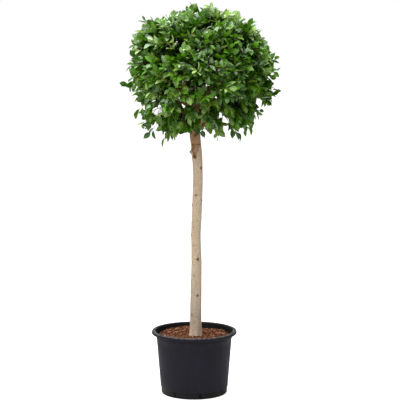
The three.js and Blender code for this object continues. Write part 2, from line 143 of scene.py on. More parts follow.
# Height, sideways and backward place of the centre line, and radius of the stem, in millimetres
STEM_STATIONS = np.array([
    [267.3, 5.2, 0, 30.2], [275, 5.6, 0, 29], [290, 6.2, 0, 28], [332, 7, 0, 26.8], [440, 8, 1, 26],
    [530, 9.5, 2, 24.6], [626, 11.2, 3, 23.4], [700, 9.2, 3, 22], [744, 8.4, 2, 21.8], [790, 10, 1, 21.8],
    [885, 14, -1, 22.1], [980, 17.2, -3, 21.5], [1045, 17.4, -2, 21.4], [1082, 16.4, -2, 21.8],
    [1110, 14, -1, 22.8], [1142, 11, 0, 23.6], [1170, 9, 1, 22.6], [1205, 5, 2, 24], [1260, 4, 2, 23],
    [1320, 12, 2, 19],
]) * MM
STEM = {
    "around": 112,
    "along": 640,
    "root_lobes": 5,
    "root_swell": 0.1,
    "root_fade": 34 * MM,
    "root_turn": 0.6,
    "fuller": 1 * MM,
    "waves": (0.9 * MM, 26, 0.35),  # relief of the bark: its height, how fine it is, and its stretch
    "grain": (0.28 * MM, 240, 0.25),
    "scar_depth": 0.7 * MM,
}

# Marks of pruned shoots: height in millimetres, azimuth, radius, how far each stands out, how dark its eye is
KNOTS = [
    (373, 228, 5, 0.7, 0.6), (465, 286, 5, 1.0, 1.2), (495, 70, 5, 1.2, 0.8), (559, 247, 5, 0.7, 0.5),
    (636, 283, 5.5, 1.6, 1.3), (747, 190, 4, 4.2, 1.0), (760, 95, 5, 1.4, 0.8), (890, 192, 4, 4.2, 1.0),
    (911, 338, 4.5, 1.8, 1.0), (937, 251, 4.5, 0.9, 1.0), (1063, 311, 5.5, 2.0, 1.1),
    (1085, 80, 6, 3.0, 0.8), (1115, 245, 6, 1.6, 1.3), (1136, 184, 6.5, 10.0, 0.6),
    (1214, 272, 5.5, 1.6, 1.2), (1224, 292, 5.5, 1.4, 0.9),
]
# Scars that run round the stem: height in millimetres, how dark, half width. They all wave, by a height and
# a number of waves each, and break into dashes: how dark in the mean, by how much more or less, and how many.
RINGS = [
    (937, 0.6, 1.3), (1012, 0.15, 1.2), (1173.5, 1.6, 1.8), (1200, 0.3, 1.5), (812, 0.12, 1.2),
    (682, 0.1, 1.2),
]
RING_WAVES = [(1.2 * MM, 2, 1), (0.6 * MM, 5, 0.7)]
RING_DASHES = (0.55, 0.7, 9)
# A knot's make, as shares of its radius: its hump, the pit in it, the dark eye and the thin halo round that.
# One that stands out further than stub_from, in millimetres, is the steeper stub of a shoot.
KNOT = {
    "squash": 0.85,
    "hump": 1.15,
    "pit": 0.5,
    "pit_depth": 0.8,
    "deepest": 1.6,
    "eye": 0.85,
    "halo": 1.3,
    "halo_width": 0.3,
    "halo_dark": 0.2,
    "stub_from": 4,
    "stub_steeper": 1.6,
}
# The brown collar of bark over the knot at the stem's top: it opens upwards from the knot
COLLAR = {
    "low": 1108 * MM,
    "high": 1174 * MM,
    "azimuth": 243,
    "foot": 3,  # its spread to each side at its foot and, to the left and right, at its top, in degrees
    "left": 17,
    "right": 62,
    "left_rim": (0.22, 1.3),  # width in radians and strength of the dark line along each side
    "right_rim": (0.16, 0.7),
    "inside": 0.44,
    "fade": 0.3,
    "waves": [(5, 0.21, 0), (3, 0.55, 1)],  # of its sides: degrees, radians to a millimetre, and shift
    "edges": (-2 * MM, 4 * MM, 3 * MM),  # where its foot begins and is full, and its top ends
}

CROWN = {
    "centre": Vector((35, 4, 1500)) * MM,
    "radius": 356 * MM,
    "rise": 315 * MM,
    "drop": 320 * MM,
    "square_above": 2.35,
    "square_below": 2.6,
    "tips": 130,
    "bare_under": -0.93,
    "heart_share": 0.6,
    "tip_share": 0.8,
}
# Where the clipped surface stands out or falls in: azimuth, elevation and spread in degrees, and depth in
# millimetres
SWELLS = [
    (180, 2, 8, 16), (180, 26, 7, 8), (0, 46, 6, 32), (0, 30, 6, 12), (180, -45, 6, -20), (0, 1, 6, 8),
    (0, -60, 7, 16), (180, 46, 6, 12), (180, -14, 6, -22), (180, -30, 6, 12), (0, -45, 6, 20),
    (0, 26, 12, -18), (0, -14, 14, 19), (0, -22, 7, 8), (0, -70, 14, -60), (180, -60, 9, 12),
    (180, 57, 9, -22), (180, 30, 12, 15), (180, -6, 9, 26), (180, -50, 14, 18), (180, -74, 8, -30),
    (0, 88, 8, 26), (180, 38, 7, 15), (0, 8, 6, 12), (0, 51, 7, 26), (0, 38, 6, 6),
]
SWELL_ENDS = 3  # a swell has died out at this many times its spread
TIERS = {
    "top": {"elevation": 86, "entry": 0.7, "spread": 0.5, "climb": 0.5, "droop": 0.0},
    "upper": {"elevation": 27, "entry": 0.72, "spread": 0.6, "climb": 0.5, "droop": 0.06},
    "lower": {"elevation": -25, "entry": 0.45, "spread": 0.62, "climb": 0.3, "droop": 0.3},
}
# Name, tier, azimuth of the heart, height on the stem, and the bough's radius at its foot and tip
MASSES = [
    ("top", "top", 60, 1319, 12.5, 7.5),
    ("upper_front", "upper", 270, 1276, 10.5, 6.2),
    ("upper_right", "upper", 342, 1264, 11, 6.4),
    ("upper_back_right", "upper", 54, 1272, 10.5, 6),
    ("upper_back_left", "upper", 126, 1266, 10.5, 6),
    ("upper_left", "upper", 198, 1280, 11, 6.4),
    ("lower_front_left", "lower", 234, 1238, 11.5, 6.2),
    ("lower_front_right", "lower", 306, 1248, 11.5, 6.2),
    ("lower_right", "lower", 18, 1230, 11.5, 6.4),
    ("lower_back", "lower", 90, 1240, 11.5, 6.2),
    ("lower_left", "lower", 162, 1234, 11, 6.2),
]
# Two thin shoots from the stem that show under the leaves: start, bend and end in millimetres
UNDER_SHOOTS = [
    ((-12, -10, 1262), (-30, -24, 1250), (-54, -40, 1226)),
    ((20, -10, 1252), (48, -24, 1250), (80, -36, 1229)),
]
UNDER_SHOOT_FEEDS = 9  # they are as thick as twigs that feed this many tips
FORK = Vector((6, 2, 1330)) * MM
BOUGH = {
    "around": 28,
    "along": 60,
    "taper": 0.8,
    "collar": 0.45,
    "collar_fade": 0.14,
    "relief": (1.0 * MM, 60, 0.5),
}

TWIG = {
    "inner_share": 0.6,  # the source's tips, drawn in to here, carry the finer twigs
    "fork": 0.46,
    "fine_fork": 0.24,
    "wander": 0.1,
    "tip_radius": 0.85 * MM,
    "per_tip": 0.42,
    "taper": 0.86,
    "end_taper": 0.6,
    "thin_to": 2,  # twigs that feed this many tips have three sides, and up to the next number four
    "middling_to": 12,
    "follow": 0.42,  # how far a twig runs on in its parent's direction before it turns
}
SHOOT = {
    "count": 1760,
    "shares": (0.74, 0.93),
    "reaches": (0.93, 1.05),  # how far out a shoot's leaves may stand, as a share of the clipped surface
    "unrest": 0.05,
    "leaf_room": 0.07,  # between a shoot's end and how far its leaves may stand
    "stray_room": 0.1,  # the same for a shoot that has grown out
    "clump": 4.6,  # how many clumps of shoots stand side by side across the crown
    "clump_detail": 2.3,
    "hollow": -0.06,  # where the clumps' pattern falls under this, no shoot reaches the outside
    "hollow_depth": 0.3,
    "hollow_edge": 0.2,
    "open_below": 0.42,  # share of the shoots that are missing in the crown's lower half
    "bears": 11,  # twigs that feed this many tips or fewer carry leaves
    "bare_inside": 0.34,
}
LEAF = {
    "length": 48 * MM,
    "slimness": 0.60,
    "sizes": (0.62, 1.14),
    "petiole": 7 * MM,
    "petiole_width": 1.3 * MM,
    "spacing": 8.6 * MM,
    "free_spacing": 13 * MM,
    "turn": 137.5,
    "turn_slack": 30,
    "open": (30, 72),  # angle between a leaf and its twig
    "outward": (0.0, 0.5),
    "hang": (0.3, 1.7),
    "lift": (0.0, 0.45),
    "face_out": (0.25, 0.75),  # how far the upper side looks outwards, at the crown's top and at its foot
    "face_up": 0.8,
    "face_tilt": (0.5, 0.9),
    "face_least": 0.15,
    "droop": 0.75,
    "fold": (0.08, 0.42),
    "curl": (0.02, 0.22),
    "bow": 0.04,  # how far the rib bends to one side, along the blade and at its tip
    "tip_bow": 0.05,
    "tip_curl": 1.05,
    "first": 0.7,  # the first leaf's place along its twig, in shares of the way from leaf to leaf
    "end_size": 0.86,
    "furthest": 0.98,
    "checked_at": (0, 0.35, 0.7),  # shares of its length, back from its tip, that have to clear the openings
    "hangs_lower": 30,  # how far a few leaves hang under the rest, in millimetres
}
# Where changes over the crown begin and end, as the upward part of the direction out from its centre
GRADES = {
    "face": (0.6, -0.4),
    "droop": (0.15, -0.5),
    "missing": (0.1, -0.35),
    "shade": (0.7, -0.1),
    "inside": (-0.4, 0.3),
}
# Shoots that have grown out since the last clipping: azimuth, elevation, share of the surface
STRAYS = [(196, 82, 1.06), (180, -9, 1.03), (2, 10, 1.05), (350, 2, 1.04), (215, -52, 1.0),
          (182, 42, 1.03), (300, 80, 1.04), (358, -14, 1.03)]

# Sprays that hang clear of the rest: the places of their ends, in millimetres
HANGERS = [
    (-268, -40, 1322), (-236, 20, 1272), (-196, -30, 1232), (-132, -60, 1212), (-92, -80, 1226),
    (104, -60, 1220), (206, -50, 1222), (240, 30, 1246), (250, -80, 1268), (-214, -70, 1262),
    (32, -70, 1246),
]

# Openings that run right through the crown: sideways place, height, half width, half height in millimetres
OPENINGS = [
    (-175, 1325, 25, 20), (-180, 1260, 12, 16), (150, 1280, 24, 13), (-90, 1325, 10, 7), (-35, 1355, 9, 8),
    (295, 1370, 10, 9), (-235, 1340, 9, 11),
]
# Small openings are scattered by draws. Each field of them has its middle sideways and in height, how far
# it reaches both ways, in millimetres, and how many openings it holds.
SPECKS = {
    "half_size": (6, 9),
    "fields": [(-150, 1330, 100, 80, 10), (140, 1310, 120, 45, 4), (-20, 1330, 60, 60, 2)],
}

# The lowest that leaves hang, from left to right across the crown: sideways place and height. It arches up
# beside the stem and again over the gap on the right.
UNDERSIDE = [
    (-300, 1150), (-150, 1185), (-112, 1196), (-78, 1216), (-48, 1231), (-25, 1238), (36, 1237), (92, 1236),
    (121, 1242), (134, 1258), (172, 1258), (202, 1222), (240, 1200), (330, 1150),
]

# ---------------------------------------------------------------- numbers and directions


def dice(seed):
    """Seeded draws between 0 and 1, by the mulberry32 rule."""
    state = [seed & 0xFFFFFFFF]

    def roll():
        state[0] = (state[0] + 0x6D2B79F5) & 0xFFFFFFFF
        t = state[0]
        t = ((t ^ (t >> 15)) * (t | 1)) & 0xFFFFFFFF
        t ^= (t + ((t ^ (t >> 7)) * (t | 61) & 0xFFFFFFFF)) & 0xFFFFFFFF
        return ((t ^ (t >> 14)) & 0xFFFFFFFF) / 4294967296

    return roll


def lerp(a, b, share):
    return a + (b - a) * share


def between(limits, roll):
    return lerp(limits[0], limits[1], roll())


def smooth_step(low, high, value):
    share = np.clip((value - low) / (high - low), 0, 1)
    return share * share * (3 - 2 * share)


def heading(azimuth, elevation):
    a, e = math.radians(azimuth), math.radians(elevation)
    return Vector((math.cos(a) * math.cos(e), math.sin(a) * math.cos(e), math.sin(e)))


UP = Vector((0, 0, 1))
EYE = Vector((0.0273, -6.316, 1.66))
CAMERA = {"down": 0.11788, "sensor": 36, "lens": 123.0}


def sideways(direction, angle):
    """A vector at right angles to a direction, turned round it by an angle."""
    reference = UP if abs(direction.z) < 0.9 else Vector((1, 0, 0))
    first = reference.cross(direction).normalized()
    second = direction.cross(first)
    return first * math.cos(angle) + second * math.sin(angle)


# ---------------------------------------------------------------- modelling by hand


def clear_selection():
    if bpy.context.mode != "OBJECT":
        bpy.ops.object.mode_set(mode="OBJECT")
    bpy.ops.object.select_all(action="DESELECT")


def named(name):
    """The object that was just added, named."""
    piece = bpy.context.object
    piece.name = name
    piece.data.name = name
    return piece


def edit(piece):
    clear_selection()
    piece.select_set(True)
    bpy.context.view_layer.objects.active = piece
    bpy.ops.object.mode_set(mode="EDIT")
    bpy.ops.mesh.select_all(action="SELECT")


def leave():
    bpy.ops.object.mode_set(mode="OBJECT")


def corners_of(piece):
    places = np.empty(3 * len(piece.data.vertices))
    piece.data.vertices.foreach_get("co", places)
    return places.reshape(-1, 3)


def put_corners(piece, places):
    piece.data.vertices.foreach_set("co", np.ascontiguousarray(places, dtype=float).ravel())
    piece.data.update()


def mark(piece, name, values):
    """A number on each corner, for a material to read."""
    layer = piece.data.attributes.new(name, "FLOAT", "POINT")
    layer.data.foreach_set("value", np.ascontiguousarray(values, dtype=np.float32))


def close_up(piece):
    """Merges what coincides, fills open ends and turns all faces outwards."""
    edit(piece)
    bpy.ops.mesh.remove_doubles(threshold=MERGE)
    bpy.ops.mesh.fill_holes(sides=0)
    bpy.ops.mesh.normals_make_consistent(inside=False)
    leave()


def smooth(piece, angle):
    clear_selection()
    piece.select_set(True)
    bpy.context.view_layer.objects.active = piece
    bpy.ops.object.shade_smooth_by_angle(angle=math.radians(angle))


def apply_modifier(piece, kind, **settings):
    clear_selection()
    bpy.context.view_layer.objects.active = piece
    modifier = piece.modifiers.new(kind.lower(), kind)
    for key, value in settings.items():
        setattr(modifier, key, value)
    bpy.ops.object.modifier_apply(modifier=modifier.name)


def spun(name, section, steps):
    """A body of revolution: its section is drawn point by point and spun round the upright axis."""
    clear_selection()
    first = Vector((section[0][0], 0, section[0][1]))
    bpy.ops.mesh.primitive_plane_add(size=MM, location=first)
    piece = named(name)
    bpy.ops.object.transform_apply(location=True, rotation=True, scale=True)
    edit(piece)
    bpy.ops.mesh.merge(type="CENTER")
    for (r0, z0), (r1, z1) in zip(section, section[1:]):
        bpy.ops.mesh.extrude_vertices_move(TRANSFORM_OT_translate={"value": (r1 - r0, 0, z1 - z0)})
    bpy.ops.mesh.select_all(action="SELECT")
    bpy.ops.mesh.spin(steps=steps, angle=2 * math.pi, center=(0, 0, 0), axis=(0, 0, 1))
    leave()
    close_up(piece)
    return piece


def rolled(name, around, along, place, marks=()):
    """A sheet rolled into a closed limb. place(turn, share) gives the corners, marks what each is to show."""
    clear_selection()
    bpy.ops.mesh.primitive_grid_add(x_subdivisions=around, y_subdivisions=along, size=1)
    piece = named(name)
    flat = corners_of(piece)
    turn = (flat[:, 0] + 0.5) * 2 * math.pi
    share = flat[:, 1] + 0.5
    put_corners(piece, place(turn, share))
    for key, rule in marks:
        mark(piece, key, rule(turn, share))
    close_up(piece)
    smooth(piece, 60)
    return piece


def joined(name, corners, faces):
    """One mesh from arrays of corners and of triangles."""
    mesh = bpy.data.meshes.new(name)
    mesh.vertices.add(len(corners))
    mesh.vertices.foreach_set("co", np.ascontiguousarray(corners, dtype=float).ravel())
    mesh.loops.add(faces.size)
    mesh.loops.foreach_set("vertex_index", np.ascontiguousarray(faces, dtype=np.int32).ravel())
    mesh.polygons.add(len(faces))
    mesh.polygons.foreach_set("loop_start", np.arange(len(faces), dtype=np.int32) * 3)
    mesh.polygons.foreach_set("use_smooth", np.ones(len(faces), dtype=bool))
    mesh.update(calc_edges=True)
    piece = bpy.data.objects.new(name, mesh)
    bpy.context.scene.collection.objects.link(piece)
    return piece


def finished(piece, material, slot, *nodes):
    piece.data.materials.clear()
    piece.data.materials.append(material)
    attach(piece, BODY)
    if nodes:
        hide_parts(*nodes)
    return piece


# ---------------------------------------------------------------- shader maths


def colour(red, green, blue):
    """A colour from 0 to 255 a channel, as light."""
    def light(value):
        value /= 255
        return value / 12.92 if value <= 0.04045 else ((value + 0.055) / 1.055) ** 2.4
    return (light(red), light(green), light(blue), 1)


class Signal:
    """A shader socket that Python's operators turn into Math nodes."""

    def __init__(self, finish, socket):
        self.finish = finish
        self.socket = socket

    def math(self, operation, a, b):
        return self.finish.node("ShaderNodeMath", {"operation": operation}, {0: a, 1: b})

    def __add__(self, other):
        return self.math("ADD", self, other)

    def __mul__(self, other):
        return self.math("MULTIPLY", self, other)

    __radd__ = __add__
    __rmul__ = __mul__


class Finish:
    """A material under construction: its nodes, and its one shader."""

    def __init__(self, name, **constants):
        self.material = bpy.data.materials.new(name)
        self.material.use_nodes = True
        self.tree = self.material.node_tree
        self.shader = self.tree.nodes["Principled BSDF"]
        for key, value in constants.items():
            self.shader.inputs[key.replace("_", " ")].default_value = value

    def node(self, kind, settings=None, sockets=None, output=0):
        made = self.tree.nodes.new(kind)
        for key, value in (settings or {}).items():
            if key == "stops":
                self.set_stops(made.color_ramp, value)
            else:
                setattr(made, key, value)
        for key, value in (sockets or {}).items():
            if isinstance(value, Signal):
                self.tree.links.new(value.socket, made.inputs[key])
            else:
                made.inputs[key].default_value = value
        return Signal(self, made.outputs[output])

    @staticmethod
    def set_stops(ramp, stops):
        while len(ramp.elements) > 1:
            ramp.elements.remove(ramp.elements[-1])
        ramp.elements[0].position, ramp.elements[0].color = stops[0]
        for position, shade in stops[1:]:
            ramp.elements.new(position).color = shade

    def ramp(self, signal, *stops):
        return self.node("ShaderNodeValToRGB", {"stops": stops}, {0: signal})

    def level(self, signal, low, high, to_low=0.0, to_high=1.0):
        """Stretches what lies between low and high to fill a range, and holds it there."""
        settings = {"clamp": True, "interpolation_type": "SMOOTHSTEP"}
        return self.node("ShaderNodeMapRange", settings, {0: signal, 1: low, 2: high, 3: to_low, 4: to_high})

    def mix(self, factor, a, b):
        settings = {"data_type": "RGBA"}
        return self.node("ShaderNodeMix", settings, {0: factor, 6: a, 7: b}, output=2)

    def layered(self, tone, *layers):
        """Lays colours over a tone, one after another, each where its mask says."""
        for mask, shade in layers:
            tone = self.mix(mask, tone, colour(*shade))
        return tone

    def place(self, scale=(1, 1, 1)):
        spot = self.node("ShaderNodeTexCoord", output="Object")
        return self.node("ShaderNodeMapping", sockets={"Vector": spot, "Scale": scale})

    def noise(self, vector, scale, detail=3.0, roughness=0.55, distortion=0.0):
        sockets = {"Vector": vector, "Scale": scale, "Detail": detail, "Roughness": roughness,
                   "Distortion": distortion}
        return self.node("ShaderNodeTexNoise", sockets=sockets)

    def height(self):
        spot = self.node("ShaderNodeTexCoord", output="Object")
        return self.node("ShaderNodeSeparateXYZ", sockets={0: spot}, output="Z")

    def read(self, name):
        return self.node("ShaderNodeAttribute", {"attribute_name": name}, output="Fac")

    def bump(self, signal, distance, strength=1.0):
        sockets = {"Height": signal, "Distance": distance, "Strength": strength}
        return self.node("ShaderNodeBump", sockets=sockets)

    def let_through(self, share, tint):
        """Mixes in light that comes through from behind."""
        behind = self.node("ShaderNodeBsdfTranslucent", sockets={"Color": tint})
        front = Signal(self, self.shader.outputs[0])
        both = self.node("ShaderNodeMixShader", sockets={0: share, 1: front, 2: behind})
        self.tree.links.new(both.socket, self.tree.nodes["Material Output"].inputs["Surface"])

    def paint(self, **links):
        for key, signal in links.items():
            self.tree.links.new(signal.socket, self.shader.inputs[key.replace("_", " ")])
        return self.material


# ---------------------------------------------------------------- finishes


def pot_plastic():
    """Black recycled plastic, matt, with faint streaks down the wall, scuffs and a little dust, and painted
    shade below the foot's step and over the inside.
    """
    f = Finish("black_pot_plastic", Specular_IOR_Level=0.14)
    plain = f.place()
    streaks = f.noise(f.place((90, 90, 5)), 1.0, detail=4)
    clouds = f.noise(plain, 9.0, detail=3)
    scuffs = f.level(f.noise(f.place((60, 60, 26)), 1.0, detail=6, roughness=0.7), 0.58, 0.74)
    grain = f.noise(plain, 900.0, detail=2)
    worn_lip = f.level(f.height(), POT_TOP - 5 * MM, POT_TOP - 1 * MM)
    chips = f.level(f.noise(plain, 90.0, detail=5), 0.38, 0.62, 0.05, 1.0)
    dust = f.mix(f.read("front"), colour(78, 80, 78), colour(88, 80, 74))
    # Below the foot's step the plastic is painted darker: painted shade under the step
    painted_foot_shade = f.level(f.height(), POT["foot_height"] + POT["foot_step"], POT["foot_height"])
    tone = f.mix(f.level(clouds, 0.35, 0.68), colour(10, 8, 17), colour(17, 15, 25))
    tone = f.layered(tone, (f.level(streaks, 0.45, 0.8) * 0.4, (21, 21, 30)), (scuffs * 0.35, (40, 41, 44)))
    tone = f.mix(worn_lip * (0.4 + 0.7 * clouds) * chips, tone, dust)
    # Painted shade: darker below the foot's step, and darker still over the whole inside of the pot
    tone = f.layered(tone, (painted_foot_shade, (8, 8, 10)), (f.read("inside"), (5, 6, 6)))
    rough = f.level(clouds, 0.3, 0.7, 0.62, 0.74) + 0.1 * scuffs
    relief = 0.55 * grain + 0.5 * streaks
    return f.paint(Base_Color=tone, Roughness=rough, Normal=f.bump(relief, 0.0006, 0.35))


def bed_soil():
    """The damp shade between and under the granules, and low in the pot near-black painted shade with
    yellowish roots in it.
    """
    f = Finish("shaded_clay", Specular_IOR_Level=0.2)
    crumbs = f.noise(f.place(), 260.0, detail=4)
    tone = f.ramp(crumbs, (0.32, colour(20, 12, 8)), (0.55, colour(46, 26, 16)), (0.7, colour(70, 42, 28)))
    # Low in the pot the filling is painted near black, as painted shade, with yellowish roots in it
    roots_and_shade = f.mix(f.level(f.noise(f.place(), 60.0), 0.55, 0.65), colour(8, 7, 6), colour(84, 64, 24))
    tone = f.mix(f.level(f.height(), 0.18, 0.22), roots_and_shade, tone)
    rough = f.level(crumbs, 0.3, 0.7, 0.9, 0.98)
    return f.paint(Base_Color=tone, Roughness=rough, Normal=f.bump(crumbs, 0.004))


def clay(name, dark, light):
    """Baked clay: pitted, dusty and matt."""
    f = Finish(name, Specular_IOR_Level=0.08)
    pits = f.noise(f.place(), 520.0, detail=4, roughness=0.65)
    tone = f.ramp(pits, (0.34, dark), (0.62, light))
    rough = f.level(pits, 0.3, 0.7, 0.82, 0.97)
    return f.paint(Base_Color=tone, Roughness=rough, Normal=f.bump(pits, 0.0016))


def stem_bark():
    """Smooth pale fig bark: beige, greyer at the foot, paler just above the bed, partly its own pale foot and
    partly painted light against the pot's shade, brown under the crown, speckled and streaked.
    """
    f = Finish("pale_fig_bark", Specular_IOR_Level=0.12)
    height = f.height()
    plain = f.place()
    patches = f.noise(plain, 16.0, detail=4, roughness=0.6)
    streaks = f.noise(f.place((120, 120, 22)), 1.0, detail=5, roughness=0.65)
    specks = f.noise(plain, 420.0, detail=3, roughness=0.7)
    bands = f.noise(f.place((10, 10, 190)), 1.0, detail=3)
    mottle = f.noise(plain, 130.0, detail=4, roughness=0.65)
    blotches = f.noise(f.place((26, 26, 5)), 1.0, detail=2)
    grey = f.level(height + 0.10 * patches, 0.40, 0.72, 1.0, 0.0)
    brown = f.level(height + 0.04 * patches, 1.175, 1.2)
    browns = f.mix(f.level(streaks, 0.4, 0.62), colour(128, 94, 62), colour(152, 118, 86))
    tone = f.layered(
        f.mix(grey, colour(150, 137, 116), colour(140, 130, 117)),
        (f.level(blotches, 0.42, 0.6) * 0.45, (154, 131, 111)),
        # Paler just above the bed: partly the stem's own pale foot, partly painted light against the shade of
        # the pot
        (f.level(height, 0.29, 0.36, 0.9, 0.0), (176, 158, 140)),
        (f.level(mottle, 0.5, 0.64) * 0.5, (118, 104, 86)),
        (f.level(mottle, 0.46, 0.32) * 0.35, (178, 164, 142)),
    )
    tone = f.layered(
        f.mix(brown, tone, browns),
        (f.level(patches, 0.5, 0.7) * 0.4, (144, 120, 94)),
        (f.level(streaks, 0.5, 0.72) * 0.5, (110, 92, 74)),
        (f.level(bands, 0.58, 0.76) * 0.3, (110, 90, 70)),
        (f.level(specks, 0.56, 0.7) * 0.7, (92, 76, 60)),
        (f.level(specks, 0.44, 0.32) * 0.5, (186, 172, 148)),
        (f.read("collar") * (0.6 + 0.5 * streaks), (96, 52, 8)),
        (f.read("eye"), (56, 26, 0)),
    )
    rough = f.level(streaks, 0.3, 0.7, 0.72, 0.9)
    relief = 0.6 * streaks + 0.35 * specks + 0.3 * bands
    return f.paint(Base_Color=tone, Roughness=rough, Normal=f.bump(relief, 0.0022, 0.6))


def limb_bark():
    """Brown bark of boughs and twigs, in their own shade."""
    f = Finish("brown_fig_bark", Specular_IOR_Level=0.3)
    specks = f.noise(f.place(), 260.0, detail=4, roughness=0.65)
    patches = f.noise(f.place(), 30.0, detail=2)
    tone = f.mix(f.level(patches, 0.35, 0.7), colour(104, 68, 34), colour(134, 94, 56))
    tone = f.layered(tone, (f.level(specks, 0.55, 0.75) * 0.6, (78, 48, 24)))
    rough = f.level(specks, 0.3, 0.7, 0.7, 0.88)
    return f.paint(Base_Color=tone, Roughness=rough, Normal=f.bump(specks, 0.0012))


# The crown's greens: name, shade, lit shade, roughness, shine, share of the shoots at its top and foot.
# The shares paint light and shade: the grey green of painted sheen goes mostly to the top and the deep green
# more to the foot. The last green, painted shade, is dealt to the crown's inside by place.
GREENS = [
    ("deep", (24, 57, 0), (43, 79, 2), 0.38, 0.28, 0.16, 0.30),
    ("leaf", (46, 87, 4), (67, 109, 11), 0.38, 0.36, 0.24, 0.45),
    ("grass", (74, 105, 26), (97, 127, 44), 0.40, 0.44, 0.12, 0.18),
    # A grey green dealt mostly to the crown's top: painted sheen of the light on the upper leaves
    ("silvery", (80, 108, 66), (106, 134, 92), 0.42, 0.80, 0.42, 0.04),
    ("fresh", (102, 134, 64), (134, 160, 92), 0.40, 0.50, 0.06, 0.03),
    # A dark green for the leaves deep inside the crown, as painted shade
    ("old", (16, 38, 0), (28, 56, 0), 0.45, 0.15, 0, 0),
]
# Leaves this far in take the dark green of painted shade: shares of the clipped surface, in the crown's lower
# and upper half
SHADED_INSIDE = (0.6, 0.76)
LEAF_LETS_THROUGH = 0.22
LEAF_GLOW = (1.1, 1.1, 0.8)  # the light that comes through, against the lit shade
RIB = {"shade": 50, "times": 1.1, "strength": 0.4}  # how much paler a leaf's rib is than its lit shade
PALE_PATCH = {"centre": Vector((70, -280, 1475)) * MM, "radius": 95 * MM, "chance": 0.3}


def leaf_green(name, shade, lit, rough, shine):
    """A waxy fig leaf: slightly mottled, with a paler rib and a soft gloss."""
    f = Finish("leaf_" + name, Specular_IOR_Level=shine)
    mottle = f.noise(f.place(), 24.0, detail=4, roughness=0.6)
    fine = f.noise(f.place(), 600.0, detail=2)
    tone = f.mix(f.level(mottle, 0.38, 0.62), colour(*shade), colour(*lit))
    pale = [min(255, RIB["shade"] + RIB["times"] * channel) for channel in lit]
    tone = f.layered(tone, (f.level(f.read("rib"), 0.84, 0.97) * RIB["strength"], pale))
    gloss = f.level(fine, 0.3, 0.7, rough - 0.05, rough + 0.07)
    f.let_through(LEAF_LETS_THROUGH, colour(*[channel * glow for channel, glow in zip(lit, LEAF_GLOW)]))
    return f.paint(Base_Color=tone, Roughness=gloss, Normal=f.bump(fine, 0.0006, 0.4))


# ---------------------------------------------------------------- pot and granules


def arc(centre, radius, start, end, count):
    """Points of an arc in a section, from one angle to another, in degrees."""
    angles = [math.radians(lerp(start, end, i / count)) for i in range(count + 1)]
    return [(centre[0] + radius * math.cos(a), centre[1] + radius * math.sin(a)) for a in angles]


def inside_radius(height):
    """Radius of the pot's inner wall at a height, under the collar."""
    share = (height - POT["floor"]) / (POT["collar_bottom"] - POT["floor"])
    return lerp(POT["base_radius"], POT["top_radius"] - POT["wall"], share)


def beside(corner, name):
    """Points of the pot's section beside one of its corners."""
    return [(corner[0] + out * MM, corner[1] + up * MM) for out, up in BENDS[name]]


def pot_section():
    """The pot's section, from the middle of its underside round the lip to the middle of its floor."""
    skin, corner, floor, roll = POT["wall"], POT["corner"], POT["floor"], POT["lip_round"]
    base, collar = POT["base_radius"], POT["top_radius"] + POT["collar_step"]
    foot, foot_top, step = POT["foot_radius"], POT["foot_height"], POT["foot_step"]
    collar_low, lip_low = POT["collar_bottom"], POT["lip_bottom"]
    lip = (LIP_RADIUS - roll, POT_TOP - roll)
    inner = (collar + POT["lip_inner"], POT_TOP - roll)
    section = [(0, 0), (base * 0.5, 0)] + beside((base, 0), "base")
    section += arc((base - POT["corner_in"], corner), corner, -84, -8, 5)
    section += beside((foot, foot_top), "foot") + beside((foot + step, foot_top + step), "foot_step")
    wall_low, wall_high = section[-1], (POT["top_radius"], collar_low)
    for i in range(1, POT["wall_steps"] + 1):
        share = i / POT["wall_steps"]
        section.append((lerp(wall_low[0], wall_high[0], share), lerp(wall_low[1], wall_high[1], share)))
    section += beside(wall_high, "wall_top")
    section += beside((collar, collar_low), "collar") + beside((collar, lip_low), "lip")
    section += beside((collar, POT_TOP - skin), "under_top")
    section += beside((lip[0], POT_TOP - skin), "under_curve")
    section += arc(lip, roll - skin, 70, 0, 5)
    section += beside((LIP_RADIUS - skin, lip_low), "rim_inside") + beside((LIP_RADIUS, lip_low), "rim")
    section += arc(lip, roll, 0, 88, 8)
    section += arc(inner, roll, 92, 165, 7)
    section += beside((collar, lip_low), "inner_lip")
    section += beside((inside_radius(collar_low), collar_low), "inner_wall")
    return section + [(inside_radius(floor), floor), (0, floor)]


def drain_cutters():
    """Rounded blocks that cut the slots low in the wall."""
    tall = DRAIN["high"] - DRAIN["low"]
    clear_selection()
    blocks = []
    for i in range(DRAIN["count"]):
        azimuth = math.radians(270 + DRAIN["turn"] + 360 / DRAIN["count"] * i)
        across, back = POT["foot_radius"] * math.cos(azimuth), POT["foot_radius"] * math.sin(azimuth)
        bpy.ops.mesh.primitive_cube_add(
            size=1,
            location=(across, back, DRAIN["low"] + tall / 2),
            rotation=(0, 0, azimuth),
            scale=(DRAIN["depth"], DRAIN["width"], tall),
        )
        blocks.append(named(f"drain_{i}"))
        bpy.ops.object.transform_apply(location=True, rotation=True, scale=True)
    clear_selection()
    for block in blocks:
        block.select_set(True)
    bpy.context.view_layer.objects.active = blocks[0]
    bpy.ops.object.join()
    cutter = blocks[0]
    edit(cutter)
    bpy.ops.mesh.bevel(offset=DRAIN["corner"], segments=3, affect="EDGES")
    leave()
    return cutter


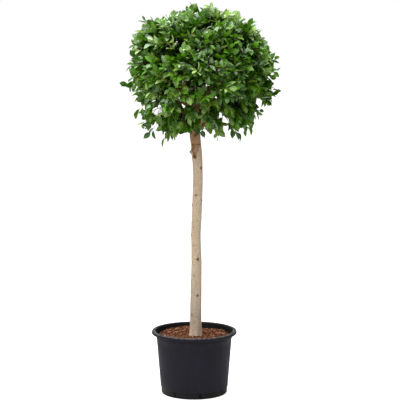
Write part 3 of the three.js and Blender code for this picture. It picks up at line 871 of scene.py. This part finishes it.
def make_pot():
    pot = spun("nursery_pot", pot_section(), POT["steps"])
    cutter = drain_cutters()
    apply_modifier(pot, "BOOLEAN", object=cutter, operation="DIFFERENCE", solver="EXACT")
    bpy.data.objects.remove(cutter)
    smooth(pot, 32)
    places = corners_of(pot)
    height = places[:, 2]
    collar = POT["top_radius"] + POT["collar_step"]
    lip_opens = POT["lip_bottom"] + POT["lip_opens"]
    above = collar + np.where(height < lip_opens, POT["collar_middle"], POT["lip_middle"])
    wall_middle = np.where(height < POT["collar_bottom"], inside_radius(height) + POT["wall"] / 2, above)
    # The inside is marked for the finish to paint it darker, as painted shade
    mark(pot, "inside", np.hypot(places[:, 0], places[:, 1]) < wall_middle)
    mark(pot, "front", smooth_step(*POT["front"], places[:, 1]))
    return finished(pot, pot_plastic(), "pot", "pot")


def bed_top(x, y):
    """Height of the granules' bed over a place: mounded, rippled and fallen away beside the wall."""
    radius = math.hypot(x, y)
    edge = inside_radius(BED["edge_height"])
    outwards = min(1.0, max(0.0, (radius - BED["stem_radius"]) / (edge - BED["stem_radius"])))
    top = lerp(BED["middle_height"], BED["edge_height"], outwards)
    ripple = sum(share * noise.noise(Vector((x * fine, y * fine, level)))
                 for fine, level, share in BED["ripples"])
    beside_wall = max(0.0, 1 - (edge - radius) / BED["sunk_width"])
    near_stem = min(1.0, radius / BED["stem_radius"])
    mound = sum(tall * math.exp(-((x - across) ** 2 + (y - deep) ** 2) / reach**2)
                for across, deep, tall, reach in BED["mounds"])
    back = smooth_step(*BED["back"], y) * smooth_step(0, BED["back_wall"], edge - radius)
    mound += BED["back_rise"] * back * lerp(1.0, BED["right_share"], smooth_step(*BED["right"], x))
    return top + mound + BED["ripple"] * ripple * near_stem - BED["sunk"] * beside_wall**1.4


def make_bed():
    low = POT["floor"] + BED["over_floor"]
    edge = inside_radius(BED["edge_height"]) - BED["clear"]
    section = [(0, low), (inside_radius(low) - BED["clear"], low), (edge, BED["edge_height"] - BED["sunk"])]
    section += [(edge * (1 - i / BED["rings"]), BED["edge_height"]) for i in range(1, BED["rings"])]
    section += [(0, BED["middle_height"])]
    bed = spun("granule_filling", section, BED["steps"])
    places = corners_of(bed)
    on_top = places[:, 2] > BED["edge_height"] - BED["sunk"] - MM
    for i in np.flatnonzero(on_top):
        places[i, 2] = bed_top(places[i, 0], places[i, 1]) - BED["under_grains"]
    put_corners(bed, places)
    smooth(bed, 60)
    return finished(bed, bed_soil(), "granules", "granule_bed")


# The granules' colours: name, dark and light shade, share
CLAYS = [
    ("rust", (66, 36, 22), (106, 64, 42), 0.46),
    ("brick", (29, 15, 10), (56, 33, 22), 0.40),
    ("tan", (114, 74, 50), (162, 120, 88), 0.14),
]


def grain_shapes(roll):
    """A few lumps: one small ball of twenty faces, pushed about."""
    clear_selection()
    bpy.ops.mesh.primitive_ico_sphere_add(subdivisions=1, radius=1)
    ball = named("grain")
    corners = corners_of(ball)
    faces = np.array([list(face.vertices) for face in ball.data.polygons])
    bpy.data.objects.remove(ball)
    lumps = []
    for _ in range(GRAIN["shapes"]):
        push = np.array([[1 + GRAIN["rough"] * (2 * roll() - 1)] for _ in corners])
        squash = np.array([between(GRAIN["squash"], roll) for _ in range(3)])
        lumps.append(corners * push * squash)
    return lumps, faces


def make_grains():
    roll = dice(SEEDS["grains"])
    lumps, faces = grain_shapes(roll)
    edge = inside_radius(BED["edge_height"]) - GRAIN["clear"]
    stem = Vector((STEM_STATIONS[0, 1], STEM_STATIONS[0, 2], 0))
    heaps = {name: [] for name, *_ in CLAYS}
    for i in range(GRAIN["count"]):
        radius = edge * math.sqrt((i + roll()) / GRAIN["count"])
        angle = GOLDEN_TURN * i + GRAIN["unrest"] * roll()
        x, y = radius * math.cos(angle), radius * math.sin(angle)
        size = between(GRAIN["sizes"], roll)
        from_stem = (Vector((x, y, 0)) - stem).length
        if radius > edge - size or from_stem < STEM_STATIONS[0, 3] + size * GRAIN["on_stem"]:
            continue
        turn = np.array(sideways(heading(360 * roll(), 90 * roll()), 6 * roll()))
        first = np.array(sideways(Vector(turn), 6.28 * roll()))
        axes = np.stack([turn, first, np.cross(turn, first)])
        lift = size * between(GRAIN["proud"], roll)
        lump = lumps[int(roll() * len(lumps))] @ axes * size
        pick = roll()
        for name, _, _, share in CLAYS:
            pick -= share
            if pick < 0:
                break
        heaps[name].append(lump + [x, y, bed_top(x, y) - GRAIN["settled"] + lift])
    for name, dark, light, _ in CLAYS:
        grains = heaps[name]
        corners = np.concatenate(grains)
        steps = np.arange(len(grains))[:, None, None] * len(lumps[0])
        heap = joined("granules_" + name, corners, (faces[None] + steps).reshape(-1, 3))
        heap.data.polygons.foreach_set("use_smooth", np.zeros(len(heap.data.polygons), dtype=bool))
        finished(heap, clay("clay_" + name, colour(*dark), colour(*light)), "granules")


# ---------------------------------------------------------------- stem and boughs


def eased(rows, heights):
    """Columns of a table of stations at many heights, eased between rows (cubic Hermite)."""
    at = rows[:, 0]
    values = rows[:, 1:]
    slopes = np.gradient(values, at, axis=0)
    index = np.clip(np.searchsorted(at, heights) - 1, 0, len(at) - 2)
    span = (at[index + 1] - at[index])[:, None]
    t = ((heights - at[index])[:, None]) / span
    a, b = values[index], values[index + 1]
    leaving, arriving = slopes[index] * span, slopes[index + 1] * span
    return (a * (1 + 2 * t) * (1 - t) ** 2 + leaving * t * (1 - t) ** 2
            + b * t * t * (3 - 2 * t) + arriving * t * t * (t - 1))


def stem_at(height):
    x, y, radius = eased(STEM_STATIONS, np.array([height]))[0]
    return Vector((x, y, height)), radius


def angle_apart(a, b):
    return np.abs((a - b + math.pi) % (2 * math.pi) - math.pi)


def knot_fields(turn, height, radius):
    """How far the bark stands out at each corner for the knots, and how dark their eyes make it."""
    stand = np.zeros_like(turn)
    eye = np.zeros_like(turn)
    for level, azimuth, size, out, dark in KNOTS:
        across = angle_apart(turn, math.radians(azimuth)) * radius
        apart = np.hypot(across, (height - level * MM) * KNOT["squash"]) / (size * MM)
        hump = np.exp(-(apart / KNOT["hump"]) ** 2 * (KNOT["stub_steeper"] if out > KNOT["stub_from"] else 1))
        pit = np.exp(-(apart / KNOT["pit"]) ** 2)
        halo = np.exp(-((apart - KNOT["halo"]) / KNOT["halo_width"]) ** 2)
        stand += MM * (out * hump - min(out, KNOT["deepest"]) * KNOT["pit_depth"] * pit)
        eye += dark * (np.exp(-(apart / KNOT["eye"]) ** 2) + KNOT["halo_dark"] * halo)
    return stand, np.clip(eye, 0, 1)


def ring_field(turn, height):
    """How dark the scars round the stem are: wavy lines that break into dashes."""
    depth = np.zeros_like(turn)
    for level, dark, half in RINGS:
        wave = sum(tall * np.sin(turn * count + level * shift) for tall, count, shift in RING_WAVES)
        middle, swing, count = RING_DASHES
        dashes = np.clip(middle + swing * np.sin(turn * count + level), 0, 1)
        depth += dark * dashes * np.exp(-((height - level * MM - wave) / (half * MM)) ** 2)
    return depth


def collar_field(turn, height):
    """The brown bark between the knot and the ring above it, wider towards the ring."""
    rise = np.clip((height - COLLAR["low"]) / (COLLAR["high"] - COLLAR["low"]), 0, 1)
    wave = sum(wide * np.sin(height / MM * pace + shift) for wide, pace, shift in COLLAR["waves"])
    middle, foot, fade = math.radians(COLLAR["azimuth"]), COLLAR["foot"], COLLAR["fade"]
    left = middle - np.radians(lerp(foot, COLLAR["left"], rise ** 0.5) + wave)
    right = middle + np.radians(lerp(foot, COLLAR["right"], rise ** 0.9) + wave)
    shade = COLLAR["inside"] * (smooth_step(left, left + fade, turn) * smooth_step(right, right - fade, turn))
    for side, (width, strength) in ((left, COLLAR["left_rim"]), (right, COLLAR["right_rim"])):
        shade = shade + np.exp(-((turn - side) / width) ** 2) * strength
    begins, full, ends = COLLAR["edges"]
    band = smooth_step(COLLAR["low"] + begins, COLLAR["low"] + full, height)
    band *= smooth_step(COLLAR["high"] + ends, COLLAR["high"], height)
    return band * np.clip(shade, 0, 1)


def bark_relief(points, tall, fine, stretch):
    """Relief of the bark at each point. A small stretch draws it out upwards."""
    return tall * np.array([noise.fractal(Vector((x * fine, y * fine, z * fine * stretch)), 0.8, 2.1, 3)
                            for x, y, z in points])


def make_stem():
    low, high = STEM_STATIONS[0, 0], STEM_STATIONS[-1, 0]
    fields = {}

    def place(turn, share):
        height = lerp(low, high, share)
        x, y, radius = eased(STEM_STATIONS, height).T
        lobes = STEM["root_swell"] * np.exp(-(height - low) / STEM["root_fade"])
        radius = radius * (1 + lobes * np.cos(STEM["root_lobes"] * turn + STEM["root_turn"]))
        stand, fields["eye"] = knot_fields(turn, height, radius)
        scars = ring_field(turn, height)
        fields["collar"] = np.clip(collar_field(turn, height) + scars, 0, 1)
        plain = np.stack([x + radius * np.cos(turn), y + radius * np.sin(turn), height], axis=1)
        relief = bark_relief(plain, *STEM["waves"]) + bark_relief(plain, *STEM["grain"])
        radius = radius + STEM["fuller"] + relief + stand - STEM["scar_depth"] * scars
        return np.stack([x + radius * np.cos(turn), y + radius * np.sin(turn), height], axis=1)

    marks = [("eye", lambda turn, share: fields["eye"]), ("collar", lambda turn, share: fields["collar"])]
    stem = rolled("stem", STEM["around"], STEM["along"], place, marks)
    return finished(stem, stem_bark(), "bark", "trunk")


def curve_frames(points):
    """Two directions across a line of points at each of them, carried along without twist."""
    tangents = np.gradient(points, axis=0)
    tangents /= np.linalg.norm(tangents, axis=1)[:, None]
    first = np.array(sideways(Vector(tangents[0]), 0))
    ones, twos = [], []
    for tangent in tangents:
        first = first - tangent * first.dot(tangent)
        first /= np.linalg.norm(first)
        ones.append(first)
        twos.append(np.cross(tangent, first))
    return tangents, np.array(ones), np.array(twos)


def bezier(start, bend, end, share):
    share = np.asarray(share)[:, None]
    a, b, c = np.array(start), np.array(bend), np.array(end)
    return a * (1 - share) ** 2 + b * 2 * share * (1 - share) + c * share**2


def bough_bend(mass):
    start = stem_at(mass["height"])[0]
    bend = start.lerp(mass["entry"], mass["tier"]["spread"])
    bend.z = lerp(start.z, mass["entry"].z, mass["tier"]["climb"])
    return start, bend


def make_bough(mass, bark):
    start, bend = bough_bend(mass)
    rings = np.linspace(0, 1, BOUGH["along"] + 1)
    line = bezier(start, bend, mass["entry"], rings)
    _, ones, twos = curve_frames(line)

    def place(turn, share):
        ring = np.rint(share * BOUGH["along"]).astype(int)
        radius = lerp(mass["foot"], mass["tip"], share ** BOUGH["taper"])
        collar = BOUGH["collar"] * np.exp(-share / BOUGH["collar_fade"])
        across = np.cos(turn)[:, None] * ones[ring] + np.sin(turn)[:, None] * twos[ring]
        middle = line[ring]
        relief = bark_relief(middle + across * radius[:, None], *BOUGH["relief"])
        return middle + across * (radius * (1 + collar) + relief)[:, None]

    bough = rolled("limb_" + mass["name"], BOUGH["around"], BOUGH["along"], place)
    return finished(bough, bark, "bark", "bough_" + mass["name"])


# ---------------------------------------------------------------- the crown's shape

SWELL_RULES = [(heading(a, e), math.radians(spread), depth * MM) for a, e, spread, depth in SWELLS]


def clipped_reach(direction):
    """Distance from the crown's centre to its clipped surface along a unit direction."""
    above = direction.z > 0
    power = CROWN["square_above"] if above else CROWN["square_below"]
    across = math.hypot(direction.x, direction.y) / CROWN["radius"]
    along = abs(direction.z) / (CROWN["rise"] if above else CROWN["drop"])
    reach = (across**power + along**power) ** (-1 / power)
    for middle, spread, depth in SWELL_RULES:
        apart = math.acos(max(-1.0, min(1.0, direction.dot(middle)))) / spread
        if apart < SWELL_ENDS:
            reach += depth * math.exp(-apart * apart)
    return reach


def crown_point(direction, share):
    return CROWN["centre"] + direction * (clipped_reach(direction) * share)


def share_at(point):
    offset = point - CROWN["centre"]
    return offset.length / clipped_reach(offset.normalized())


def even_directions(count):
    for i in range(count):
        z = 1 - (2 * i + 1) / count
        r = math.sqrt(1 - z * z)
        yield Vector((r * math.cos(GOLDEN_TURN * i), r * math.sin(GOLDEN_TURN * i), z))


def lay_out_masses():
    masses = []
    for name, tier_name, azimuth, height, foot, tip in MASSES:
        tier = TIERS[tier_name]
        heart = crown_point(heading(azimuth, tier["elevation"]), CROWN["heart_share"])
        entry = FORK.lerp(heart, tier["entry"])
        masses.append({"name": name, "tier": tier, "heart": heart, "entry": entry, "height": height * MM,
                       "foot": foot * MM, "tip": tip * MM, "tips": []})
    return masses


def graded(name, slope):
    """How far a change over the crown has come, from 0 to 1, at a slope of the way out from its centre."""
    start, end = GRADES[name]
    return float(smooth_step(start, end, slope))


def owner_of(masses, direction):
    point = crown_point(direction, CROWN["tip_share"])
    return min(masses, key=lambda mass: (mass["heart"] - point).length)


# ---------------------------------------------------------------- twigs and leaves


def from_front(point):
    """Where the line from the eye to a point crosses the upright plane through the stem, in millimetres."""
    crossing = EYE.lerp(point, EYE.y / (EYE.y - point.y)) / MM
    return crossing.x, crossing.z


def scatter_specks():
    """The small openings, as places and sizes like those of the large ones."""
    roll = dice(SEEDS["specks"])
    specks = []
    for x, z, wide, tall, count in SPECKS["fields"]:
        for _ in range(count):
            half = between(SPECKS["half_size"], roll)
            specks.append((x + between((-wide, wide), roll), z + between((-tall, tall), roll), half, half))
    return specks


SKY = OPENINGS + scatter_specks()


def in_opening(point):
    across, height = from_front(point)
    return any(math.hypot((across - x) / half_width, (height - z) / half_height) < 1
               for x, z, half_width, half_height in SKY)


def hangs_too_low(point, allowance=0.0):
    across, height = from_front(point)
    return height < np.interp(across, *zip(*UNDERSIDE)) - allowance


def middle_of(points):
    return sum(points, Vector()) / len(points)


def halves(tips):
    """Tips parted in two along their widest axis."""
    def width(axis):
        values = [tip["point"][axis] for tip in tips]
        return max(values) - min(values)
    axis = max(range(3), key=width)
    ordered = sorted(tips, key=lambda tip: tip["point"][axis])
    return ordered[: len(ordered) // 2], ordered[len(ordered) // 2 :]


def grow(start, ahead, tips, fork, roll, twigs):
    """One twig to a fork, then each half of the tips in turn; a tip may carry a finer set of its own."""
    last = len(tips) == 1
    feeds = sum(tip["feeds"] for tip in tips)
    if last:
        end = tips[0]["point"]
    else:
        end = start.lerp(middle_of([tip["point"] for tip in tips]), fork)
    way = end - start
    stray = sideways(way.normalized(), 2 * math.pi * roll())
    if not last:
        end = end + stray * (way.length * TWIG["wander"] * roll())
    bend = start + ahead * (way.length * TWIG["follow"])
    onward = (end - bend).normalized()
    finer = tips[0]["finer"] if last else None
    twigs.append({"start": start, "bend": bend, "end": end, "feeds": feeds, "last": last and not finer,
                  "tip": tips[0] if last else None})
    if last:
        if finer:
            grow(end, onward, finer, TWIG["fine_fork"], roll, twigs)
        return
    for half in halves(tips):
        grow(end, onward, half, fork, roll, twigs)


def twig_radius(feeds):
    return TWIG["tip_radius"] * math.sqrt(1 + (feeds - 1) * TWIG["per_tip"])


def leaf_on(spot, tangent, k, start_turn, droop, roll):
    """The direction of a twig's leaf of this number, and the way its upper side looks."""
    outward = (spot - CROWN["centre"]).normalized()
    turn = math.radians(start_turn + LEAF["turn"] * k + LEAF["turn_slack"] * (2 * roll() - 1))
    aside = sideways(tangent, turn)
    opened = math.radians(between(LEAF["open"], roll))
    direction = tangent * math.cos(opened) + aside * math.sin(opened)
    direction += outward * between(LEAF["outward"], roll)
    direction += UP * between(LEAF["lift"], roll) * (1 - droop)
    direction -= UP * between(LEAF["hang"], roll) * droop
    direction.normalize()
    low = graded("face", outward.z)
    face = outward * lerp(*LEAF["face_out"], low) + UP * LEAF["face_up"]
    face += sideways(outward, 2 * math.pi * roll()) * lerp(*LEAF["face_tilt"], low) * 2 * roll()
    face -= direction * face.dot(direction)
    if face.length < LEAF["face_least"]:
        face = sideways(direction, 2 * math.pi * roll())
    face.normalize()
    return direction, face


def leaf_fits(spot, direction, length, furthest, allowance):
    """True if a leaf stays within the clipped surface, if it has such a limit, and clear of the openings."""
    tip = spot + direction * (length + LEAF["petiole"])
    if furthest and (share_at(tip) > furthest or hangs_too_low(tip, allowance)):
        return False
    return not any(in_opening(tip - direction * length * share) for share in LEAF["checked_at"])


def twig_fits(end):
    return not in_opening(end) and not hangs_too_low(end)


def bear_leaves(twig, droop, roll, leaves):
    """Leaves in turn along a twig, the last one at its very end."""
    length = (twig["end"] - twig["start"]).length
    start_turn = 360 * roll()
    shade = twig["shade"]
    furthest = twig["tip"]["furthest"] if twig["last"] else LEAF["furthest"]
    steps = max(1, int(length / (LEAF["spacing"] if furthest else LEAF["free_spacing"])))
    for k in range(steps + 1):
        share = (k + LEAF["first"]) / (steps + LEAF["first"])
        spot = twig["start"] * (1 - share) ** 2 + twig["bend"] * 2 * share * (1 - share)
        spot += twig["end"] * share**2
        tangent = (twig["bend"] - twig["start"]) * (1 - share) + (twig["end"] - twig["bend"]) * share
        tangent.normalize()
        if share_at(spot) < SHOOT["bare_inside"]:
            continue
        direction, face = leaf_on(spot, tangent, k, start_turn, droop, roll)
        size = between(LEAF["sizes"], roll)
        size_here = LEAF["length"] * size * lerp(1.0, LEAF["end_size"], share)
        allowance = LEAF["hangs_lower"] * roll() ** 3
        if not leaf_fits(spot, direction, size_here, furthest, allowance):
            continue
        leaves.append({
            "root": spot, "direction": direction, "face": face, "length": size_here, "shade": shade,
            "fold": between(LEAF["fold"], roll), "curl": between(LEAF["curl"], roll), "bow": 2 * roll() - 1,
        })


def tubes(twigs):
    """Corners and triangles of tapering tubes along the twigs, joined."""
    corners, faces, base = [], [], 0
    for twig in twigs:
        thick = twig_radius(twig["feeds"])
        thin = twig["feeds"] <= TWIG["thin_to"]
        sides = 3 if thin else 4 if twig["feeds"] <= TWIG["middling_to"] else 6
        steps = 4 if thin else 5
        share = np.linspace(0, 1, steps + 1)
        line = bezier(twig["start"], twig["bend"], twig["end"], share)
        _, ones, twos = curve_frames(line)
        taper = TWIG["end_taper"] if twig["last"] else TWIG["taper"]
        radius = thick * lerp(1, taper, share)
        turn = np.arange(sides) * 2 * math.pi / sides
        ring = (ones[:, None] * np.cos(turn)[None, :, None] + twos[:, None] * np.sin(turn)[None, :, None])
        tube = line[:, None] + ring * radius[:, None, None]
        corners.append(tube.reshape(-1, 3))
        for i in range(steps):
            for j in range(sides):
                a, b = base + i * sides + j, base + i * sides + (j + 1) % sides
                faces += [(a, b, b + sides), (a, b + sides, a + sides)]
        top = base + steps * sides
        faces += [(top, top + j, top + j + 1) for j in range(1, sides - 1)]
        faces += [(base, base + j + 1, base + j) for j in range(1, sides - 1)]
        base += (steps + 1) * sides
    return np.concatenate(corners), np.array(faces)


# A leaf's outline: shares of its length, and half widths as shares of its greatest half width
BLADE = [(0.09, 0.42), (0.27, 0.88), (0.46, 1.0), (0.65, 0.86), (0.82, 0.50), (0.92, 0.18)]


def leaf_meshes(leaves):
    """Corners and triangles of folded, curling leaves on short stalks, joined."""
    facts = ("root", "direction", "face", "length", "fold", "curl", "bow")
    root, along, upper, length, fold, curl, bow = (np.array([leaf[key] for leaf in leaves]) for key in facts)
    across = np.cross(upper, along)
    half = length * LEAF["slimness"] / 2
    stalk = LEAF["petiole"]
    thin = LEAF["petiole_width"] / 2

    nothing = np.zeros_like(length)
    # Each corner's place along, across and up from the leaf's root, as arrays over the leaves
    rows = [(nothing + x, nothing + y, nothing)
            for x, y in ((0, -thin), (0, thin), (stalk, -thin), (stalk, thin), (stalk, 0))]
    for share, wide in BLADE:
        x = stalk + length * share
        drop = -curl * length * share**2
        side = bow * length * LEAF["bow"] * share**2
        edge = half * wide
        rows += [(x, side - edge, drop + fold * edge), (x, side, drop), (x, side + edge, drop + fold * edge)]
    rows.append((stalk + length, bow * length * LEAF["tip_bow"], -curl * length * LEAF["tip_curl"]))
    faces = [(0, 2, 3), (0, 3, 1)]
    base, tip = 4, 5 + 3 * len(BLADE)
    faces += [(base, 5, 6), (base, 6, 7)]
    for i in range(len(BLADE) - 1):
        a = 5 + 3 * i
        faces += [(a, a + 3, a + 4), (a, a + 4, a + 1), (a + 1, a + 4, a + 5), (a + 1, a + 5, a + 2)]
    a = tip - 3
    faces += [(a, tip, a + 1), (a + 1, tip, a + 2)]
    ribs = np.zeros(len(rows))
    ribs[[4, tip] + [6 + 3 * i for i in range(len(BLADE))]] = 1
    spots = np.stack([np.stack(row, axis=-1) for row in rows], axis=1)
    corners = (root[:, None] + along[:, None] * spots[..., 0:1] + across[:, None] * spots[..., 1:2]
               + upper[:, None] * spots[..., 2:3])
    steps = np.arange(len(leaves))[:, None, None] * len(rows)
    return corners.reshape(-1, 3), (np.array(faces)[None] + steps).reshape(-1, 3), np.tile(ribs, len(leaves))


def crease(piece, on_rib):
    """Sharpens the edges that run along the leaves' ribs, so that the two halves of a blade shade apart."""
    ends = np.empty(2 * len(piece.data.edges), dtype=np.int32)
    piece.data.edges.foreach_get("vertices", ends)
    sharp = on_rib[ends.reshape(-1, 2)].min(axis=1) > 0.5
    piece.data.edges.foreach_set("use_edge_sharp", sharp)


def plan_tips(masses, roll):
    """The source's tips, each with the finer tips that lie nearest to it in the same mass."""
    for direction in even_directions(CROWN["tips"]):
        if direction.z > CROWN["bare_under"]:
            mass = owner_of(masses, direction)
            mass["tips"].append({"point": crown_point(direction, TWIG["inner_share"]), "direction": direction,
                                 "finer": []})
    fine = []
    for direction in even_directions(SHOOT["count"]):
        if direction.z > CROWN["bare_under"]:
            aside = sideways(direction, 2 * math.pi * roll())
            wobble = (direction + aside * SHOOT["unrest"] * roll()).normalized()
            coarse = wobble * SHOOT["clump"]
            clump = noise.noise(coarse) + 0.5 * noise.noise(coarse * SHOOT["clump_detail"])
            stand = between(SHOOT["reaches"], roll)
            if clump < SHOOT["hollow"]:
                stand -= SHOOT["hollow_depth"] * min(1, (SHOOT["hollow"] - clump) / SHOOT["hollow_edge"])
            missing = SHOOT["open_below"] * graded("missing", wobble.z)
            if roll() > missing:
                fine.append((wobble, min(between(SHOOT["shares"], roll), stand - SHOOT["leaf_room"]), stand))
    for azimuth, elevation, share in STRAYS:
        fine.append((heading(azimuth, elevation), share - SHOOT["stray_room"], share))
    ends = [(crown_point(direction, share), direction, furthest) for direction, share, furthest in fine]
    ends = [end for end in ends if not in_opening(end[0])]
    for place in HANGERS:
        point = Vector(place) * MM
        ends.append((point, (point - CROWN["centre"]).normalized(), None))
    for point, direction, furthest in ends:
        tip = {"point": point, "finer": None, "feeds": 1 if furthest else 3, "furthest": furthest}
        nearest = max(owner_of(masses, direction)["tips"], key=lambda t: t["direction"].dot(direction))
        nearest["finer"].append(tip)
    for mass in masses:
        mass["tips"] = [tip for tip in mass["tips"] if tip["finer"]]
        for tip in mass["tips"]:
            tip["feeds"] = len(tip["finer"])


def deal_shade(end, roll):
    """A spray's green, by its place: paler on top and deeper below as painted light and shade, painted shade
    inside, fresh in one patch in front.
    """
    slope = (end - CROWN["centre"]).normalized().z
    # Sprays deep inside the crown take the dark green of painted shade
    if share_at(end) < lerp(*SHADED_INSIDE, graded("inside", slope)):
        return len(GREENS) - 1
    low = graded("shade", slope)
    fresh = (end - PALE_PATCH["centre"]).length < PALE_PATCH["radius"] and roll() < PALE_PATCH["chance"]
    pick = roll()
    for index, green in enumerate(GREENS):
        pick -= lerp(green[5], green[6], low)
        if pick < 0:
            return len(GREENS) - 2 if fresh else index
    return 0


def make_crown():
    """Boughs, twigs and leaves. A twig that bears nothing and ends in an opening is left out."""
    masses = lay_out_masses()
    plan_tips(masses, dice(SEEDS["tips"]))
    limb_brown = limb_bark()
    all_twigs, leaves = [], []
    for index, mass in enumerate(masses):
        make_bough(mass, limb_brown)
        start, bend = bough_bend(mass)
        twigs = []
        roll = dice(SEEDS["first_mass"] + index)
        ahead = (mass["entry"] - bend).normalized()
        grow(mass["entry"], ahead, mass["tips"], TWIG["fork"], roll, twigs)
        for twig in twigs:
            slope = (twig["end"] - CROWN["centre"]).normalized().z
            twig["shade"] = deal_shade(twig["end"], roll)
            borne = len(leaves)
            if twig["feeds"] <= SHOOT["bears"]:
                droop = max(mass["tier"]["droop"], LEAF["droop"] * graded("droop", slope))
                bear_leaves(twig, droop, roll, leaves)
            if len(leaves) > borne or not twig["last"] or twig_fits(twig["end"]):
                all_twigs.append(twig)
    for start, bend, end in UNDER_SHOOTS:
        shoot = {"start": Vector(start) * MM, "bend": Vector(bend) * MM, "end": Vector(end) * MM}
        all_twigs.append({**shoot, "feeds": UNDER_SHOOT_FEEDS, "last": True})
    nodes = ["foliage_" + mass["name"] for mass in masses]
    finished(joined("twigs", *tubes(all_twigs)), limb_brown, "bark", *nodes)
    for index, (name, *look, _, _) in enumerate(GREENS):
        group = [leaf for leaf in leaves if leaf["shade"] == index]
        corners, faces, ribs = leaf_meshes(group)
        spray = joined("leaves_" + name, corners, faces)
        mark(spray, "rib", ribs)
        crease(spray, ribs)
        finished(spray, leaf_green(name, *look), "foliage", *nodes)


# ---------------------------------------------------------------- studio

# Where each lamp hangs, what it looks at, its width and its power in watts
LAMPS = {
    "key_light": ((-2.3, -3.2, 3.8), (0, 0, 1.1), 3.2, 225),
    "fill_light": ((2.8, -2.6, 3.4), (0, 0, 1.2), 3.2, 100),
    "top_light": ((-0.6, 0.3, 4.6), (0, 0, 1.2), 4.0, 615),
}
STUDIO = {
    "floor_albedo": 0.4,
    "floor_near": 0.82,
    "floor_far": 1.02,
    "floor_light": 0.74,  # what the plant gets from the floor's glow
    "floor_radius": 60,
    "floor_turns": (0.5, 3.5),  # how far out the near white begins to turn into the far one, and has done so
    "floor_gap": 0.5 * MM,
    "room_light": 0.3,
    "backdrop": 1.0,
}


def floor_paint():
    """White paint that glows a little, as a floor lit from all round does."""
    f = Finish("studio_floor", Specular_IOR_Level=0.0, Roughness=1.0, Emission_Strength=1.0)
    f.shader.inputs["Base Color"].default_value = (STUDIO["floor_albedo"],) * 3 + (1,)
    seen = f.node("ShaderNodeLightPath", output="Is Camera Ray")
    far = f.node("ShaderNodeVectorMath", {"operation": "LENGTH"}, {0: f.place()}, output="Value")
    near_white, far_white = ((STUDIO[key],) * 3 + (1,) for key in ("floor_near", "floor_far"))
    shown = f.mix(f.level(far, *STUDIO["floor_turns"]), near_white, far_white)
    glow = f.mix(seen, (STUDIO["floor_light"],) * 3 + (1,), shown)
    return f.paint(Emission_Color=glow)


def make_floor():
    clear_selection()
    bpy.ops.mesh.primitive_circle_add(
        vertices=64,
        radius=STUDIO["floor_radius"],
        fill_type="NGON",
        location=(0, 0, -STUDIO["floor_gap"]),
    )
    floor = named("studio_floor")
    bpy.ops.object.transform_apply(location=True, rotation=True, scale=True)
    floor.data.materials.append(floor_paint())


def softbox(name, spot, target, size, power):
    aim = Vector(target) - Vector(spot)
    turn = aim.to_track_quat("-Z", "Y").to_euler()
    bpy.ops.object.light_add(type="AREA", location=spot, rotation=turn)
    lamp = bpy.context.object
    lamp.name = name
    lamp.data.shape = "SQUARE"
    lamp.data.size = size
    lamp.data.energy = power


def make_studio():
    world = bpy.data.worlds.new("studio")
    world.use_nodes = True
    nodes, links = world.node_tree.nodes, world.node_tree.links
    room = nodes["Background"]
    room.inputs["Color"].default_value = (1, 1, 1, 1)
    seen = nodes.new("ShaderNodeLightPath")
    strength = nodes.new("ShaderNodeMapRange")
    strength.inputs["To Min"].default_value = STUDIO["room_light"]
    strength.inputs["To Max"].default_value = STUDIO["backdrop"]
    links.new(seen.outputs["Is Camera Ray"], strength.inputs["Value"])
    links.new(strength.outputs["Result"], room.inputs["Strength"])
    bpy.context.scene.world = world
    for name, lamp in LAMPS.items():
        softbox(name, *lamp)
    view = bpy.context.scene.view_settings
    view.view_transform = "Standard"
    view.look = "None"


def make_camera():
    bpy.ops.object.camera_add(location=EYE, rotation=(math.pi / 2 - CAMERA["down"], 0, 0))
    camera = bpy.context.object
    camera.name = "camera"
    camera.data.sensor_width = CAMERA["sensor"]
    camera.data.lens = CAMERA["lens"]
    bpy.context.scene.camera = camera


make_pot()
make_bed()
make_grains()
make_stem()
make_crown()
make_floor()
make_studio()
make_camera()
